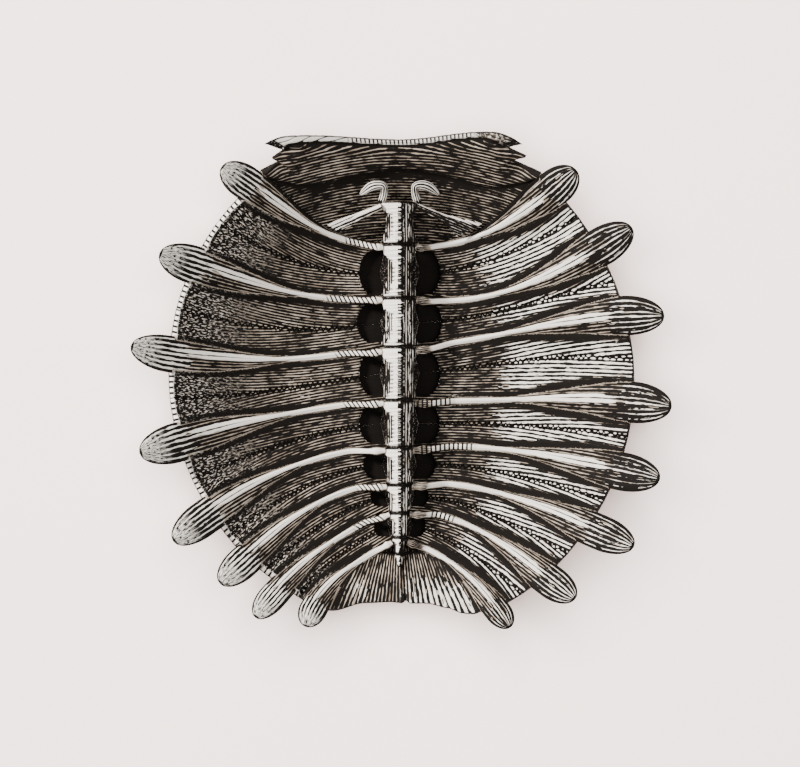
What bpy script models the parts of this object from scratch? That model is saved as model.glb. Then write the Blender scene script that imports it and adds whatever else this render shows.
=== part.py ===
"""Bony upper shell of a softshell turtle, lying on its back with the inside up.

Plan: +Y is the head end and +X the right-hand side as seen from above. The back rests on
the floor at z = 0, flat in the middle, and the rim and the rib ends rise around it. Sizes
are in metres. Every bone is one closed solid, and neighbours keep a small gap between them.
"""

import math

import bmesh
import bpy
from mathutils import Vector

# The bowl of the back: flat in the middle, then rising ever more steeply to the rim.
FLAT_RADIUS = 0.030
RIM_RADIUS = 0.1416
RIM_RISE = 0.036
RISE_POWER = 2.5

GAP = 0.0003
PLATE = 0.0052
MIDLINE = -0.0010

# The vertebral column, front to rear: where the vertebrae meet, and half widths there and at
# each waist between.
SEAMS = (0.1078, 0.0820, 0.0496, 0.0199, -0.0125, -0.0413, -0.0640, -0.0810, -0.0956, -0.1056, -0.1135)
SEAM_HALF = (0.0120, 0.0118, 0.0118, 0.0118, 0.0108, 0.0093, 0.0086, 0.0068, 0.0050, 0.0036, 0.0010)
WAIST_HALF = (0.0080, 0.0069, 0.0082, 0.0088, 0.0076, 0.0074, 0.0064, 0.0048, 0.0036, 0.0024)
WAIST_POWER = 1.6
CENTRUM_LIFT = 0.0140
CENTRUM_BELLY = 0.0040
TAIL_LIFT = 0.0085
TAIL_BELLY = 0.0018
ROOF = 1.8
ROOF_POWER = 1.35
CENTRUM_SHARES = (0.0, 0.12, 0.32, 0.5, 0.68, 0.88, 1.0)
ARCH_HALF = 0.0024
ARCH_SHARE = 0.6
ARCH_INSET = 0.12
LAST_NEURAL = 8

# Where each rib's plate meets the neural plates, and how far behind it the rib's own head lies.
RIB_ROOTS = (0.0820, 0.0496, 0.0199, -0.0125, -0.0413, -0.0632, -0.0800, -0.0988)
HEAD_BEHIND = (0.0012, 0.0008, 0.0024, 0.0018, 0.0018, 0.0020, 0.0022, 0.0005)
HEAD_DROP = 0.0010

# Half width of the neural plates where a rib meets them, and how far they swell between.
NEURAL_HALF = (0.0083, 0.0083, 0.0083, 0.0083, 0.0080, 0.0074, 0.0062, 0.0048)
NEURAL_SWELL = 0.12
SWELL_FADE = 0.1
NEURAL_FRONT = 0.0851
NEURAL_FRONT_HALF = 0.0072
NEURAL_PLATE = 0.0026

# How far the dark hollow between two rib heads reaches from the midline, front to rear.
HOLLOW_REACH = (0.0250, 0.0260, 0.0245, 0.0245, 0.0220, 0.0175, 0.0155)
HOLLOW_INNER = 0.4
HOLLOW_CLEAR = 0.0022
HOLLOW_EDGE = 0.0030
HOLLOW_FLOOR = 0.0022
HOLLOW_WALL = (0.7, 1.1)

# Each rib: tip x (outwards) and y, its heading where it leaves the column and at the tip in
# degrees, half width of its free end, and the radius at which it passes the plates' margin.
RIBS = {
    "left": (
        (0.1069, 0.1277, -1, 34, 0.0106, 0.1484),
        (0.1445, 0.0757, -5, 19, 0.0117, 0.1443),
        (0.16175, 0.0200, -10, 14, 0.0111, 0.1412),
        (0.1565, -0.0440, -5, -16, 0.0120, 0.1400),
        (0.1360, -0.0968, -2, -39, 0.0108, 0.1408),
        (0.1084, -0.1220, -3, -42, 0.0100, 0.1430),
        (0.0870, -0.1422, -24, -52, 0.0085, 0.1440),
        (0.0571, -0.1484, -30, -72, 0.0084, 0.1470),
    ),
    "right": (
        (0.1043, 0.1258, -6, 42, 0.0114, 0.1478),
        (0.1379, 0.0910, -9, 33, 0.0117, 0.1432),
        (0.1574, 0.0382, 4, -4, 0.0121, 0.1412),
        (0.1618, -0.0164, -2, -9, 0.0125, 0.1412),
        (0.1546, -0.0596, 4, -11, 0.0117, 0.1423),
        (0.1388, -0.0998, 3, -22, 0.0108, 0.1440),
        (0.1037, -0.1313, -2, -35, 0.0102, 0.1475),
        (0.0650, -0.1488, -16, -54, 0.0080, 0.1500),
    ),
}
RIB_HANDLE = 0.35
RIB_NECK_HALF = 0.0021
RIB_NECK_HEIGHT = 0.0021
RIB_END_HEIGHT = 0.0036
RIB_LANDING = (0.04, 0.17)
RIB_SINK = 0.0006
RIB_SPREAD = (0.34, 0.84)
RIB_THICKEN = (0.2, 0.8)
RIB_ROUND_FROM = 0.86
BLUNT = 0.03
RIB_SHARES = (0.0, 0.05, 0.10, 0.17, 0.28, 0.40, 0.52, 0.64, 0.74, 0.84, 0.92, 0.97, 1.0)

# Saw-toothed seams between the rib plates.
TEETH = 18
TOOTH = 0.0010
PLATE_ROWS = 4
CROWDING = 1.25
FRONT_LIP = 0.0010
SEAM_BIAS = {
    "left": (-0.03, -0.03, -0.03, -0.03, -0.03, -0.03, -0.03),
    "right": (0.08, 0.07, 0.06, -0.01, -0.05, -0.07, -0.08),
}

# The rear plates meet near the midline, and their margin bends forward of a straight line by
# these lengths, against the share of the way from rib 8 to the midline.
REAR_START = -0.0995
REAR_END = (0.0029, -0.1357)
FAN_ROWS = 8
FAN_BEND = {
    "left": ((0.0, 0.0), (0.2, -0.0029), (0.54, 0.0009), (0.82, 0.0010), (1.0, 0.0)),
    "right": ((0.0, 0.0), (0.16, -0.0021), (0.25, -0.0040), (0.37, -0.0039), (0.55, -0.0013), (0.76, 0.0006), (1.0, 0.0)),
}

# How far the inner edge of a margin stands out over the outer one: 1 makes the rim upright.
UPRIGHT_RIM = {"left": 0.0, "right": 0.6}
UPRIGHT_REAR = 0.6
UPRIGHT_FROM = 0.8

# The nuchal plate: x and y of its corner prongs, front margin, thick forepart and thin sides.
NUCHAL_TIP = {"left": (0.0816, 0.1417), "right": (0.0743, 0.1417)}
NUCHAL_FRONT = 0.1454
NUCHAL_LOBE = {"left": 0.0020, "right": 0.0041}
LOBE_PERIOD = 0.100
TIP_BEND = {"left": 0.066, "right": 0.055}
NUCHAL_COLUMNS = 16
NUCHAL_ROWS = (0.0, 0.17, 0.34, 0.47, 0.58, 0.72, 0.83, 0.915, 1.0)
NUCHAL_THINNER = 0.0008
FORE_THICKEN = 0.0020
FORE_STEP_AT = 0.72
FORE_STEP_SPAN = 0.95
FORE_STEP = (-0.02, 0.12)
SIDE_THIN = 0.65
SIDE_THIN_FROM = 0.8
SIDE_THIN_FORWARD = 0.3

# Depth of the bays between the prongs at each side, against the share of the side's length.
SIDE_BAYS = {
    "left": ((0.0, 0.0), (0.34, 0.0100), (0.47, 0.0057), (0.83, 0.0128), (1.0, 0.0)),
    "right": ((0.0, 0.0), (0.47, 0.0122), (0.58, 0.0023), (0.915, 0.0106), (1.0, 0.0)),
}
BAY_POWER = 3

# Hooked joint processes at the front of the first vertebra, outwards from the midline.
HOOK = ((0.0085, 0.1060), (0.0100, 0.1130), (0.0128, 0.1172), (0.0185, 0.1160), (0.0240, 0.1115))
HOOK_LIFT = (0.0120, 0.0120, 0.0125, 0.0120, 0.0105)
HOOK_HALF = (0.0024, 0.0021, 0.0020, 0.0025, 0.0010)
HOOK_FLATNESS = 0.8

# The slim first ribs: root at the first vertebra, far end against the first plate's rib.
FIRST_RIB_ROOT = (0.0110, 0.1048)
FIRST_RIB_END = {"left": (0.0402, 0.0920), "right": (0.0430, 0.0910)}
FIRST_RIB_END_HALF = {"left": 0.0050, "right": 0.0094}
FIRST_RIB_END_TURN = {"left": 30, "right": 28}
FIRST_RIB_HALF = 0.0018
FIRST_RIB_SPREAD = 1.8
FIRST_RIB_HALF_HEIGHT = 0.0012
FIRST_RIB_RISE = 0.0065
FIRST_RIB_FALL = 0.8
FIRST_RIB_CLEAR = 0.0030
FIRST_RIB_SHARES = (0.0, 0.3, 0.55, 0.8, 1.0)

BONE = (0.78, 0.68, 0.52, 1.0)
PLATE_BONE = (0.55, 0.43, 0.29, 1.0)
SIGN = {"left": -1, "right": 1}
SHARP_ANGLE = math.radians(35)
NUDGE = 0.01


def smooth_step(value, low, high):
    """0 below low, 1 above high and a smooth rise between."""
    share = min(1.0, max(0.0, (value - low) / (high - low)))
    return share * share * (3 - 2 * share)


def bowl_height(radius):
    """Height of the outer surface of the back at a distance from its middle."""
    reach = min(radius, RIM_RADIUS)
    share = max(0.0, reach - FLAT_RADIUS) / (RIM_RADIUS - FLAT_RADIUS)
    return RIM_RISE * share**RISE_POWER + (radius - reach) * bowl_slope(RIM_RADIUS)


def bowl_slope(radius):
    """Rise of the outer surface per metre of radius."""
    span = RIM_RADIUS - FLAT_RADIUS
    share = max(0.0, min(radius, RIM_RADIUS) - FLAT_RADIUS) / span
    return RISE_POWER * RIM_RISE / span * share ** (RISE_POWER - 1)


def bowl_normal(x, y):
    """Direction from the outer surface to the inside of the shell."""
    radius = math.hypot(x, y)
    slope = bowl_slope(radius)
    if radius < FLAT_RADIUS:
        return Vector((0, 0, 1))
    return Vector((-slope * x / radius, -slope * y / radius, 1)).normalized()


def above_skin(x, y, depth):
    """Point at a depth of bone above the outer surface, measured square to it."""
    return Vector((x, y, bowl_height(math.hypot(x, y)))) + bowl_normal(x, y) * depth


def inside_height(x, y, depth=PLATE):
    """Height of the plates' inner surface over a place in plan."""
    return bowl_height(math.hypot(x, y)) + depth / bowl_normal(x, y).z


def rib_plan(side, number, share):
    """Plan position of a rib's centreline, from the neural plate (0) to its tip (1)."""
    tip_x, tip_y, leave, arrive = RIBS[side][number - 1][:4]
    sign = SIGN[side]
    root = Vector((NEURAL_HALF[number - 1], RIB_ROOTS[number - 1]))
    tip = Vector((tip_x, tip_y)) - Vector((sign * MIDLINE, 0))
    reach = RIB_HANDLE * (tip - root).length
    knots = (
        root,
        root + reach * Vector((math.cos(math.radians(leave)), math.sin(math.radians(leave)))),
        tip - reach * Vector((math.cos(math.radians(arrive)), math.sin(math.radians(arrive)))),
        tip,
    )
    rest = 1 - share
    weights = (rest**3, 3 * rest * rest * share, 3 * rest * share * share, share**3)
    place = sum((knot * weight for knot, weight in zip(knots, weights)), Vector((0, 0)))
    return Vector((MIDLINE + sign * place.x, place.y))


def margin_share(side, number):
    """How far along a rib the margin of its plate lies."""
    radius = RIBS[side][number - 1][5]
    low, high = 0.5, 1.0
    for _ in range(30):
        middle = (low + high) / 2
        if rib_plan(side, number, middle).length < radius:
            low = middle
        else:
            high = middle
    return low


MARGIN_SHARE = {(side, n): margin_share(side, n) for side in SIGN for n in range(1, 9)}


def rounded_end(share):
    """How far a rib narrows towards its blunt tip, 1 before it does."""
    rounding = max(0.0, share - RIB_ROUND_FROM) / (1 - RIB_ROUND_FROM)
    return math.sqrt(max(BLUNT, 1 - rounding**2))


def rib_half_width(side, number, share):
    """Half width of a rib: slim at its head, spreading to a broad rounded free end."""
    spread = smooth_step(share, *RIB_SPREAD)
    end = RIBS[side][number - 1][4]
    return (RIB_NECK_HALF * (1 + share) * (1 - spread) + end * spread) * rounded_end(share)


def rib_half_height(share):
    """Half thickness of a rib."""
    full = RIB_NECK_HEIGHT + (RIB_END_HEIGHT - RIB_NECK_HEIGHT) * smooth_step(share, *RIB_THICKEN)
    return full * rounded_end(share)


def plate_line(side, number, along):
    """Plan of the line under a rib, from the neural plate (0) to the plate's margin (1)."""
    return rib_plan(side, number, along * MARGIN_SHARE[side, number])


def between(knots, share):
    """Reads a value off straight lines between knots of (share, value)."""
    for (start, low), (end, high) in zip(knots, knots[1:]):
        if share <= end:
            return low + (high - low) * (share - start) / (end - start)
    return knots[-1][1]


def neural_swell(number, along):
    """How far a seam between two plates starts outwards of the rib roots beside it."""
    return NEURAL_SWELL * (RIB_ROOTS[number - 2] - RIB_ROOTS[number - 1]) * max(0.0, 1 - along / SWELL_FADE)


def front_edge(side, along, clear=0.0):
    """Front edge of the first rib plate, just ahead of its rib."""
    share = along * MARGIN_SHARE[side, 1]
    ahead = rib_plan(side, 1, min(1.0, share + NUDGE)) - rib_plan(side, 1, share)
    forward = Vector((-ahead.y, ahead.x)).normalized() * SIGN[side]
    return rib_plan(side, 1, share) + forward * (rib_half_width(side, 1, share) + FRONT_LIP + clear)


def midline_seam(side, along):
    """Edge of a rear plate on the midline, from behind the last neural plate to the notch."""
    middle = Vector((MIDLINE, REAR_START)).lerp(Vector(REAR_END), along)
    return middle + Vector((SIGN[side] * GAP / 2, 0))


def seam_edge(side, number, other, along, tooth):
    """Edge of a plate on its seam with the neighbour other, half way between their ribs."""
    own = plate_line(side, number, along)
    beyond = plate_line(side, other, along)
    forward = (own - beyond).normalized() if other > number else (beyond - own).normalized()
    retreat = GAP / 2 * (1 if other > number else -1)
    rear_share = 0.5 - SEAM_BIAS[side][min(number, other) - 1] * math.sin(math.pi * along)
    edge = own.lerp(beyond, 1 - rear_share if other < number else rear_share)
    edge += forward * (tooth + retreat)
    edge.x += SIGN[side] * neural_swell(max(number, other), along)
    return edge


def costal_plan(side, number, along, across, tooth):
    """Plan of a rib plate: across runs from its rear seam (-1) over its rib (0) to its front seam (1)."""
    own = plate_line(side, number, along)
    if across > 0 and number == 1:
        return own.lerp(front_edge(side, along), across)
    if across > 0 or number < 8:
        other = number - 1 if across > 0 else number + 1
        place = own.lerp(seam_edge(side, number, other, along, tooth), abs(across))
        radius = own.length + (plate_line(side, other, along).length - own.length) * abs(across) / 2
        return place * (1 + along**4 * (radius / place.length - 1))
    place = own.lerp(midline_seam(side, along), -across)
    place.y += between(FAN_BEND[side], -across) * along
    return place


def plate_depth(x, y):
    """Thickness of a rib plate: thinned in the hollows between the rib heads."""
    depth = PLATE
    for front, rear, reach in zip(RIB_ROOTS, RIB_ROOTS[1:], HOLLOW_REACH):
        half_length = (front - rear) / 2 - HOLLOW_CLEAR
        inner = HOLLOW_INNER * reach
        out = (abs(x - MIDLINE) - (reach + inner) / 2) / ((reach - inner) / 2 + HOLLOW_EDGE)
        away = math.hypot(max(0.0, out), (y - (front + rear) / 2) / half_length)
        depth = min(depth, PLATE - (PLATE - HOLLOW_FLOOR) * (1 - smooth_step(away, *HOLLOW_WALL)))
    return depth


def rim_place(side, number, along, across, x, y, depth):
    """Point on a rib plate, with the inner edge of its margin moved out over the outer one."""
    upright = UPRIGHT_REAR if number == 8 else UPRIGHT_RIM[side]
    if number == 1:
        upright *= 1 - max(0.0, across)
    inward = bowl_normal(x, y) * depth
    inward.z = 0
    return above_skin(x, y, depth) - inward * (upright * smooth_step(along, UPRIGHT_FROM, 1.0))


def column_half_width(y):
    """Half width of the vertebral column: wide where vertebrae meet, narrow at their waists."""
    for n, waist in enumerate(WAIST_HALF):
        front, rear = SEAMS[n], SEAMS[n + 1]
        if y >= rear or n == len(WAIST_HALF) - 1:
            share = min(1.0, max(0.0, (front - y) / (front - rear)))
            edge = SEAM_HALF[n] if share < 0.5 else SEAM_HALF[n + 1]
            return waist + (edge - waist) * abs(2 * share - 1) ** WAIST_POWER


def tail_share(y):
    """0 along most of the column, rising to 1 at its rear tip."""
    return smooth_step(-y, -SEAMS[6], -SEAMS[10])


def column_lift(y):
    """Height of the column's middle over the outer surface."""
    return CENTRUM_LIFT + (TAIL_LIFT - CENTRUM_LIFT) * tail_share(y)


def new_object(name, bm, collection):
    """Puts a bmesh into the scene as a closed mesh with its faces pointing out."""
    bmesh.ops.recalc_face_normals(bm, faces=bm.faces)
    if bm.calc_volume(signed=True) < 0:
        bmesh.ops.reverse_faces(bm, faces=bm.faces)
    mesh = bpy.data.meshes.new(name)
    bm.to_mesh(mesh)
    bm.free()
    piece = bpy.data.objects.new(name, mesh)
    collection.objects.link(piece)
    mesh.shade_smooth()
    mesh.set_sharp_from_angle(angle=SHARP_ANGLE)
    return piece


def slab(name, columns, rows, place, collection):
    """A curved plate: a grid set out by place(column, row, face), where face is 0 outside and 1 inside."""
    bm = bmesh.new()
    bmesh.ops.create_grid(bm, x_segments=columns, y_segments=rows, size=0.5)
    steps = {v: (round((v.co.x + 0.5) * columns), round((v.co.y + 0.5) * rows)) for v in bm.verts}
    lift = bmesh.ops.extrude_face_region(bm, geom=bm.faces[:], use_keep_orig=True)
    for vert in [v for v in lift["geom"] if isinstance(v, bmesh.types.BMVert)]:
        steps[vert] = (round((vert.co.x + 0.5) * columns), round((vert.co.y + 0.5) * rows))
        vert.co.z = 1.0
    for vert, (column, row) in steps.items():
        vert.co = place(column, row, round(vert.co.z))
    return new_object(name, bm, collection)


def loft(name, stations, around, collection, roof=None):
    """A rod whose rings are set at stations: centre, side and up directions, half width, half height.

    With a roof, its upper side rises to a rounded ridge that many times the half height.
    """
    rings = len(stations)
    bm = bmesh.new()
    bmesh.ops.create_cone(bm, cap_ends=True, segments=around, radius1=1, radius2=1, depth=rings - 1)
    for ring in range(1, rings - 1):
        level = ring - (rings - 1) / 2
        geometry = bm.verts[:] + bm.edges[:] + bm.faces[:]
        bmesh.ops.bisect_plane(bm, geom=geometry, plane_co=(0, 0, level), plane_no=(0, 0, 1))
    for vert in bm.verts:
        centre, side, up, half_width, half_height = stations[round(vert.co.z + (rings - 1) / 2)]
        rise = vert.co.y
        if roof and rise > 0:
            rise = roof * (1 - min(1.0, abs(vert.co.x)) ** ROOF_POWER)
        vert.co = centre + side * (vert.co.x * half_width) + up * (rise * half_height)
    return new_object(name, bm, collection)


def keep_largest(piece):
    """Leaves only the largest closed surface of a mesh."""
    bm = bmesh.new()
    bm.from_mesh(piece.data)
    groups = []
    waiting = set(bm.verts)
    while waiting:
        front = [waiting.pop()]
        group = set(front)
        while front:
            for edge in front.pop().link_edges:
                for vert in edge.verts:
                    if vert in waiting:
                        waiting.discard(vert)
                        group.add(vert)
                        front.append(vert)
        groups.append(group)
    groups.sort(key=len)
    for group in groups[:-1]:
        bmesh.ops.delete(bm, geom=list(group), context="VERTS")
    bm.to_mesh(piece.data)
    bm.free()


def combine(piece, others, operation):
    """Joins or cuts a piece with other closed pieces, applies it and removes them."""
    helpers = bpy.data.collections.new("helpers")
    bpy.context.scene.collection.children.link(helpers)
    for other in others:
        for user in list(other.users_collection):
            user.objects.unlink(other)
        helpers.objects.link(other)
    boolean = piece.modifiers.new("boolean", "BOOLEAN")
    boolean.operation = operation
    boolean.operand_type = "COLLECTION"
    boolean.collection = helpers
    boolean.solver = "MANIFOLD"
    evaluated = piece.evaluated_get(bpy.context.evaluated_depsgraph_get())
    joined = bpy.data.meshes.new_from_object(evaluated)
    piece.modifiers.clear()
    piece.data = joined
    for other in others:
        bpy.data.objects.remove(other)
    bpy.data.collections.remove(helpers)
    keep_largest(piece)


def rib_station(side, number, share, widen=0.0):
    """One ring of a rib: bridged to the column at its head, then bedded in its plate."""
    ahead = rib_plan(side, number, min(1.0, share + NUDGE))
    behind = rib_plan(side, number, max(0.0, share - NUDGE))
    x, y = rib_plan(side, number, share)
    bridge = 1 - smooth_step(share, *RIB_LANDING)
    y -= HEAD_BEHIND[number - 1] * bridge
    head_lift = column_lift(RIB_ROOTS[number - 1]) - PLATE - HEAD_DROP
    lift = (head_lift + RIB_SINK) * bridge - RIB_SINK
    normal = bowl_normal(x, y)
    slope = (ahead - behind).to_3d()
    slope.z = inside_height(*ahead) - inside_height(*behind)
    across = slope.cross(normal).normalized()
    up = across.cross(slope).normalized()
    centre = Vector((x, y, inside_height(x, y) + lift))
    return centre, across, up, rib_half_width(side, number, share) + widen, rib_half_height(share) + widen


def rib(name, side, number, collection, widen=0.0, around=8):
    """A whole rib as one closed rod, from inside the column to its rounded tip."""
    return loft(name, [rib_station(side, number, share, widen) for share in RIB_SHARES], around, collection)


def centrum_stations(number, widen=0.0, margin=GAP / 2):
    """Rings of a vertebra's body, front to rear."""
    front, rear = SEAMS[number - 1] - margin, SEAMS[number] + margin
    stations = []
    for share in CENTRUM_SHARES:
        stations.append(column_station(front + (rear - front) * share, widen))
    return stations


def column_station(y, widen=0.0):
    """One ring of the vertebral column at y."""
    belly = CENTRUM_BELLY + (TAIL_BELLY - CENTRUM_BELLY) * tail_share(y)
    centre = Vector((MIDLINE, y, bowl_height(abs(y)) + column_lift(y)))
    return centre, Vector((1, 0, 0)), Vector((0, 0, 1)), column_half_width(y) + widen, belly + widen


def column_cutter(number, collection):
    """The column around the seam where a rib meets it, enlarged by the gap."""
    ahead = centrum_stations(number, GAP)[:-1]
    behind = centrum_stations(number + 1, GAP)[1:]
    return loft("cutter", ahead + [column_station(SEAMS[number], GAP)] + behind, 12, collection, ROOF)


def costal(side, number, collection):
    """A rib plate and its rib: one bone."""
    rows = FAN_ROWS if number == 8 else PLATE_ROWS

    def place(column, row, face):
        along = (column / TEETH) ** CROWDING
        across = 2 * row / rows - 1
        tooth = 0.0 if column in (0, TEETH) else TOOTH * (-1) ** column
        x, y = costal_plan(side, number, along, across, tooth)
        return rim_place(side, number, along, across, x, y, plate_depth(x, y) if face else 0.0)

    piece = slab(f"costal_{side}_{number}", TEETH, rows, place, collection)
    combine(piece, [rib("rod", side, number, collection)], "UNION")
    combine(piece, [column_cutter(number, collection)], "DIFFERENCE")
    return piece


def neural_place(number):
    """Sets out the neural plate of a vertebra: six-sided, widest where two plates' seam meets it."""
    front = NEURAL_FRONT if number == 2 else RIB_ROOTS[number - 2] - GAP / 2
    rear = RIB_ROOTS[number - 1] + GAP / 2
    halves = (NEURAL_HALF[number - 2], NEURAL_HALF[number - 1])
    middle = sum(halves) / 2 + neural_swell(number, 0.0)
    widths = (NEURAL_FRONT_HALF if number == 2 else halves[0], middle, halves[1])
    lengths = (front, (RIB_ROOTS[number - 2] + RIB_ROOTS[number - 1]) / 2, rear)

    def place(column, row, face):
        x = MIDLINE + (column - 1) * (widths[row] - GAP)
        y = lengths[row]
        return above_skin(x, y, NEURAL_PLATE if face else 0.0)

    return place


def arch(number, foot_depth, collection):
    """The narrow wall that carries a vertebra's body."""
    front, rear = SEAMS[number - 1], SEAMS[number]
    inset = ARCH_INSET * (front - rear)
    stations = []
    for share in (0.0, 0.5, 1.0):
        y = front - inset + (rear - front + 2 * inset) * share
        centre, side, up, _, _ = column_station(y)
        foot = inside_height(MIDLINE, y, foot_depth)
        half_height = (centre.z - foot) / 2
        half_width = min(ARCH_HALF, ARCH_SHARE * column_half_width(y))
        stations.append((Vector((MIDLINE, y, foot + half_height)), side, up, half_width, half_height))
    return loft("arch", stations, 8, collection)


def vertebra(number, collection):
    """A vertebra's body and arch, with the neural plate under it where it has one."""
    piece = loft(f"vertebra_{number}", centrum_stations(number), 12, collection, ROOF)
    extras = []
    if 2 <= number <= LAST_NEURAL:
        extras.append(slab("neural", 2, 2, neural_place(number), collection))
        extras.append(arch(number, NEURAL_PLATE / 2, collection))
    else:
        extras.append(arch(number, PLATE + 2 * GAP, collection))
    if number == 1:
        extras += [hook(side, collection) for side in SIGN]
    combine(piece, extras, "UNION")
    return piece


def hook(side, collection):
    """A bent joint process that rises ahead of the first vertebra and turns outwards."""
    sign = SIGN[side]
    centres = []
    for (x, y), lift in zip(HOOK, HOOK_LIFT):
        centres.append(Vector((MIDLINE + sign * x, y, bowl_height(y) + lift)))
    stations = []
    for n, (centre, half) in enumerate(zip(centres, HOOK_HALF)):
        heading = centres[min(n + 1, len(centres) - 1)] - centres[max(n - 1, 0)]
        across = heading.cross(Vector((0, 0, 1))).normalized()
        stations.append((centre, across, across.cross(heading).normalized(), half, half * HOOK_FLATNESS))
    return loft("hook", stations, 8, collection)


def first_rib(side, collection):
    """A slim rib from the first vertebra down to the rib of the first plate."""
    sign = SIGN[side]
    root, end = Vector(FIRST_RIB_ROOT), Vector(FIRST_RIB_END[side])
    stations = []
    turn = math.radians(FIRST_RIB_END_TURN[side])
    edge = Vector((sign * math.cos(turn), math.sin(turn), 0))
    heading = Vector((sign * (end.x - root.x), end.y - root.y, 0)).normalized()
    square = Vector((-heading.y, heading.x, 0)) * sign
    for share in FIRST_RIB_SHARES:
        x, y = root.lerp(end, share)
        x = MIDLINE + sign * x
        lift = FIRST_RIB_RISE * (1 - share) ** FIRST_RIB_FALL + FIRST_RIB_CLEAR
        centre = Vector((x, y, inside_height(x, y) + lift))
        half = FIRST_RIB_HALF + (FIRST_RIB_END_HALF[side] - FIRST_RIB_HALF) * share**FIRST_RIB_SPREAD
        across = square.lerp(edge, share).normalized()
        up = (bowl_normal(x, y) - across * bowl_normal(x, y).dot(across)).normalized()
        stations.append((centre, across, up, half, FIRST_RIB_HALF_HEIGHT))
    piece = loft(f"first_rib_{side}", stations, 8, collection)
    cutters = [rib("rod", side, 1, collection, GAP, 12), column_cutter(1, collection)]
    combine(piece, cutters, "DIFFERENCE")
    return piece


def front_margin(side, x):
    """How far forward the nuchal plate reaches at a distance from the midline, its corner left aside."""
    return NUCHAL_FRONT + NUCHAL_LOBE[side] * (1 - math.cos(2 * math.pi * x / LOBE_PERIOD)) / 2


def nuchal_front(side, along):
    """Front margin of the nuchal plate, from the midline (0) to the prong at its corner (1)."""
    tip_x, tip_y = NUCHAL_TIP[side]
    x = tip_x * along
    beyond = max(0.0, x - TIP_BEND[side]) / (tip_x - TIP_BEND[side])
    drop = front_margin(side, tip_x) - tip_y
    return Vector((MIDLINE + SIGN[side] * x, front_margin(side, x) - drop * beyond**2))





def nuchal_rear(side, along):
    """Rear edge of the nuchal plate: across the first neural plate, then along the first rib plate."""
    straight = 2 / NUCHAL_COLUMNS
    start = front_edge(side, 0.0, GAP)
    if along <= straight:
        return Vector((MIDLINE, start.y)).lerp(start, along / straight)
    return front_edge(side, (along - straight) / (1 - straight), GAP)


def nuchal_depth(offset, forward):
    """Thickness of the nuchal plate: its forepart is thicker, behind a curved step."""
    step = FORE_STEP_AT * (1 - (offset / FORE_STEP_SPAN) ** 2)
    low, high = FORE_STEP
    depth = PLATE - NUCHAL_THINNER + FORE_THICKEN * smooth_step(forward, step + low, step + high)
    thin = smooth_step(abs(offset), SIDE_THIN_FROM, 1.0) * smooth_step(forward, 0.0, SIDE_THIN_FORWARD)
    return depth * (1 - SIDE_THIN * thin)


def nuchal(collection):
    """The broad front plate with two prongs at each side."""

    def place(column, row, face):
        offset = 2 * column / NUCHAL_COLUMNS - 1
        side = "left" if offset < 0 else "right"
        forward = NUCHAL_ROWS[row]
        x, y = nuchal_rear(side, abs(offset)).lerp(nuchal_front(side, abs(offset)), forward)
        x -= SIGN[side] * between(SIDE_BAYS[side], forward) * abs(offset) ** BAY_POWER
        return above_skin(x, y, nuchal_depth(offset, forward) if face else 0.0)

    return slab("nuchal", NUCHAL_COLUMNS, len(NUCHAL_ROWS) - 1, place, collection)


def bone_material(name, colour):
    """Dry matt bone."""
    material = bpy.data.materials.new(name)
    material.use_nodes = True
    shader = material.node_tree.nodes["Principled BSDF"]
    shader.inputs["Base Color"].default_value = colour
    shader.inputs["Roughness"].default_value = 0.55
    shader.inputs["Metallic"].default_value = 0.0
    return material


def main():
    for old in list(bpy.data.objects):
        bpy.data.objects.remove(old)
    collection = bpy.data.collections.new("softshell_carapace")
    bpy.context.scene.collection.children.link(collection)

    pale = bone_material("column_bone", BONE)
    tan = bone_material("plate_bone", PLATE_BONE)
    plates = [nuchal(collection)]
    plates += [costal(side, n, collection) for side in SIGN for n in range(1, 9)]
    column = [vertebra(n, collection) for n in range(1, 11)]
    column += [first_rib(side, collection) for side in SIGN]
    for pieces, material in ((plates, tan), (column, pale)):
        for piece in pieces:
            piece.data.materials.clear()
            piece.data.materials.append(material)


main()
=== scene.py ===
"""Bony shell of a softshell turtle: the look of every bone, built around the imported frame.

The shell lies on its back. +Y is the head end, +X the right-hand side of the plan, and the
plan is what the camera sees from straight above. Lengths are in metres unless a name says mm.
"""

import math

import bmesh
import bpy
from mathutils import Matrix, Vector, noise


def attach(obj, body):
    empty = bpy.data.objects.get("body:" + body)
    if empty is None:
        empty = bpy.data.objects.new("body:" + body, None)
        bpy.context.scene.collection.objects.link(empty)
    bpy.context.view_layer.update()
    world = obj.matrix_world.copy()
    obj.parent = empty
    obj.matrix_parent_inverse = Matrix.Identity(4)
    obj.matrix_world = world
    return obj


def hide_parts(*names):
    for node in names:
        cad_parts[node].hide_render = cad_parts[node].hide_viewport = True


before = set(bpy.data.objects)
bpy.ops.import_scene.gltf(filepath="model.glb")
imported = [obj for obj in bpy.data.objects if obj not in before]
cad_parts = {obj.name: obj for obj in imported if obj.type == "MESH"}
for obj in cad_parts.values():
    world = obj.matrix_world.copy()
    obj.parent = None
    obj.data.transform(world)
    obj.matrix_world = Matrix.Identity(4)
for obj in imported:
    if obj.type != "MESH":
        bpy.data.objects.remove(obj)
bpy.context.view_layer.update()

MM = 0.001
SIGN = {"left": -1, "right": 1}

# The bowl of the back, as the solids have it.
FLAT_RADIUS = 0.030
RIM_RADIUS = 0.1416
RIM_RISE = 0.036
RISE_POWER = 2.5
GAP = 0.0003
SEAM_GAP = 0.00008
PLATE = 0.0052
MIDLINE = -0.0010

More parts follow.
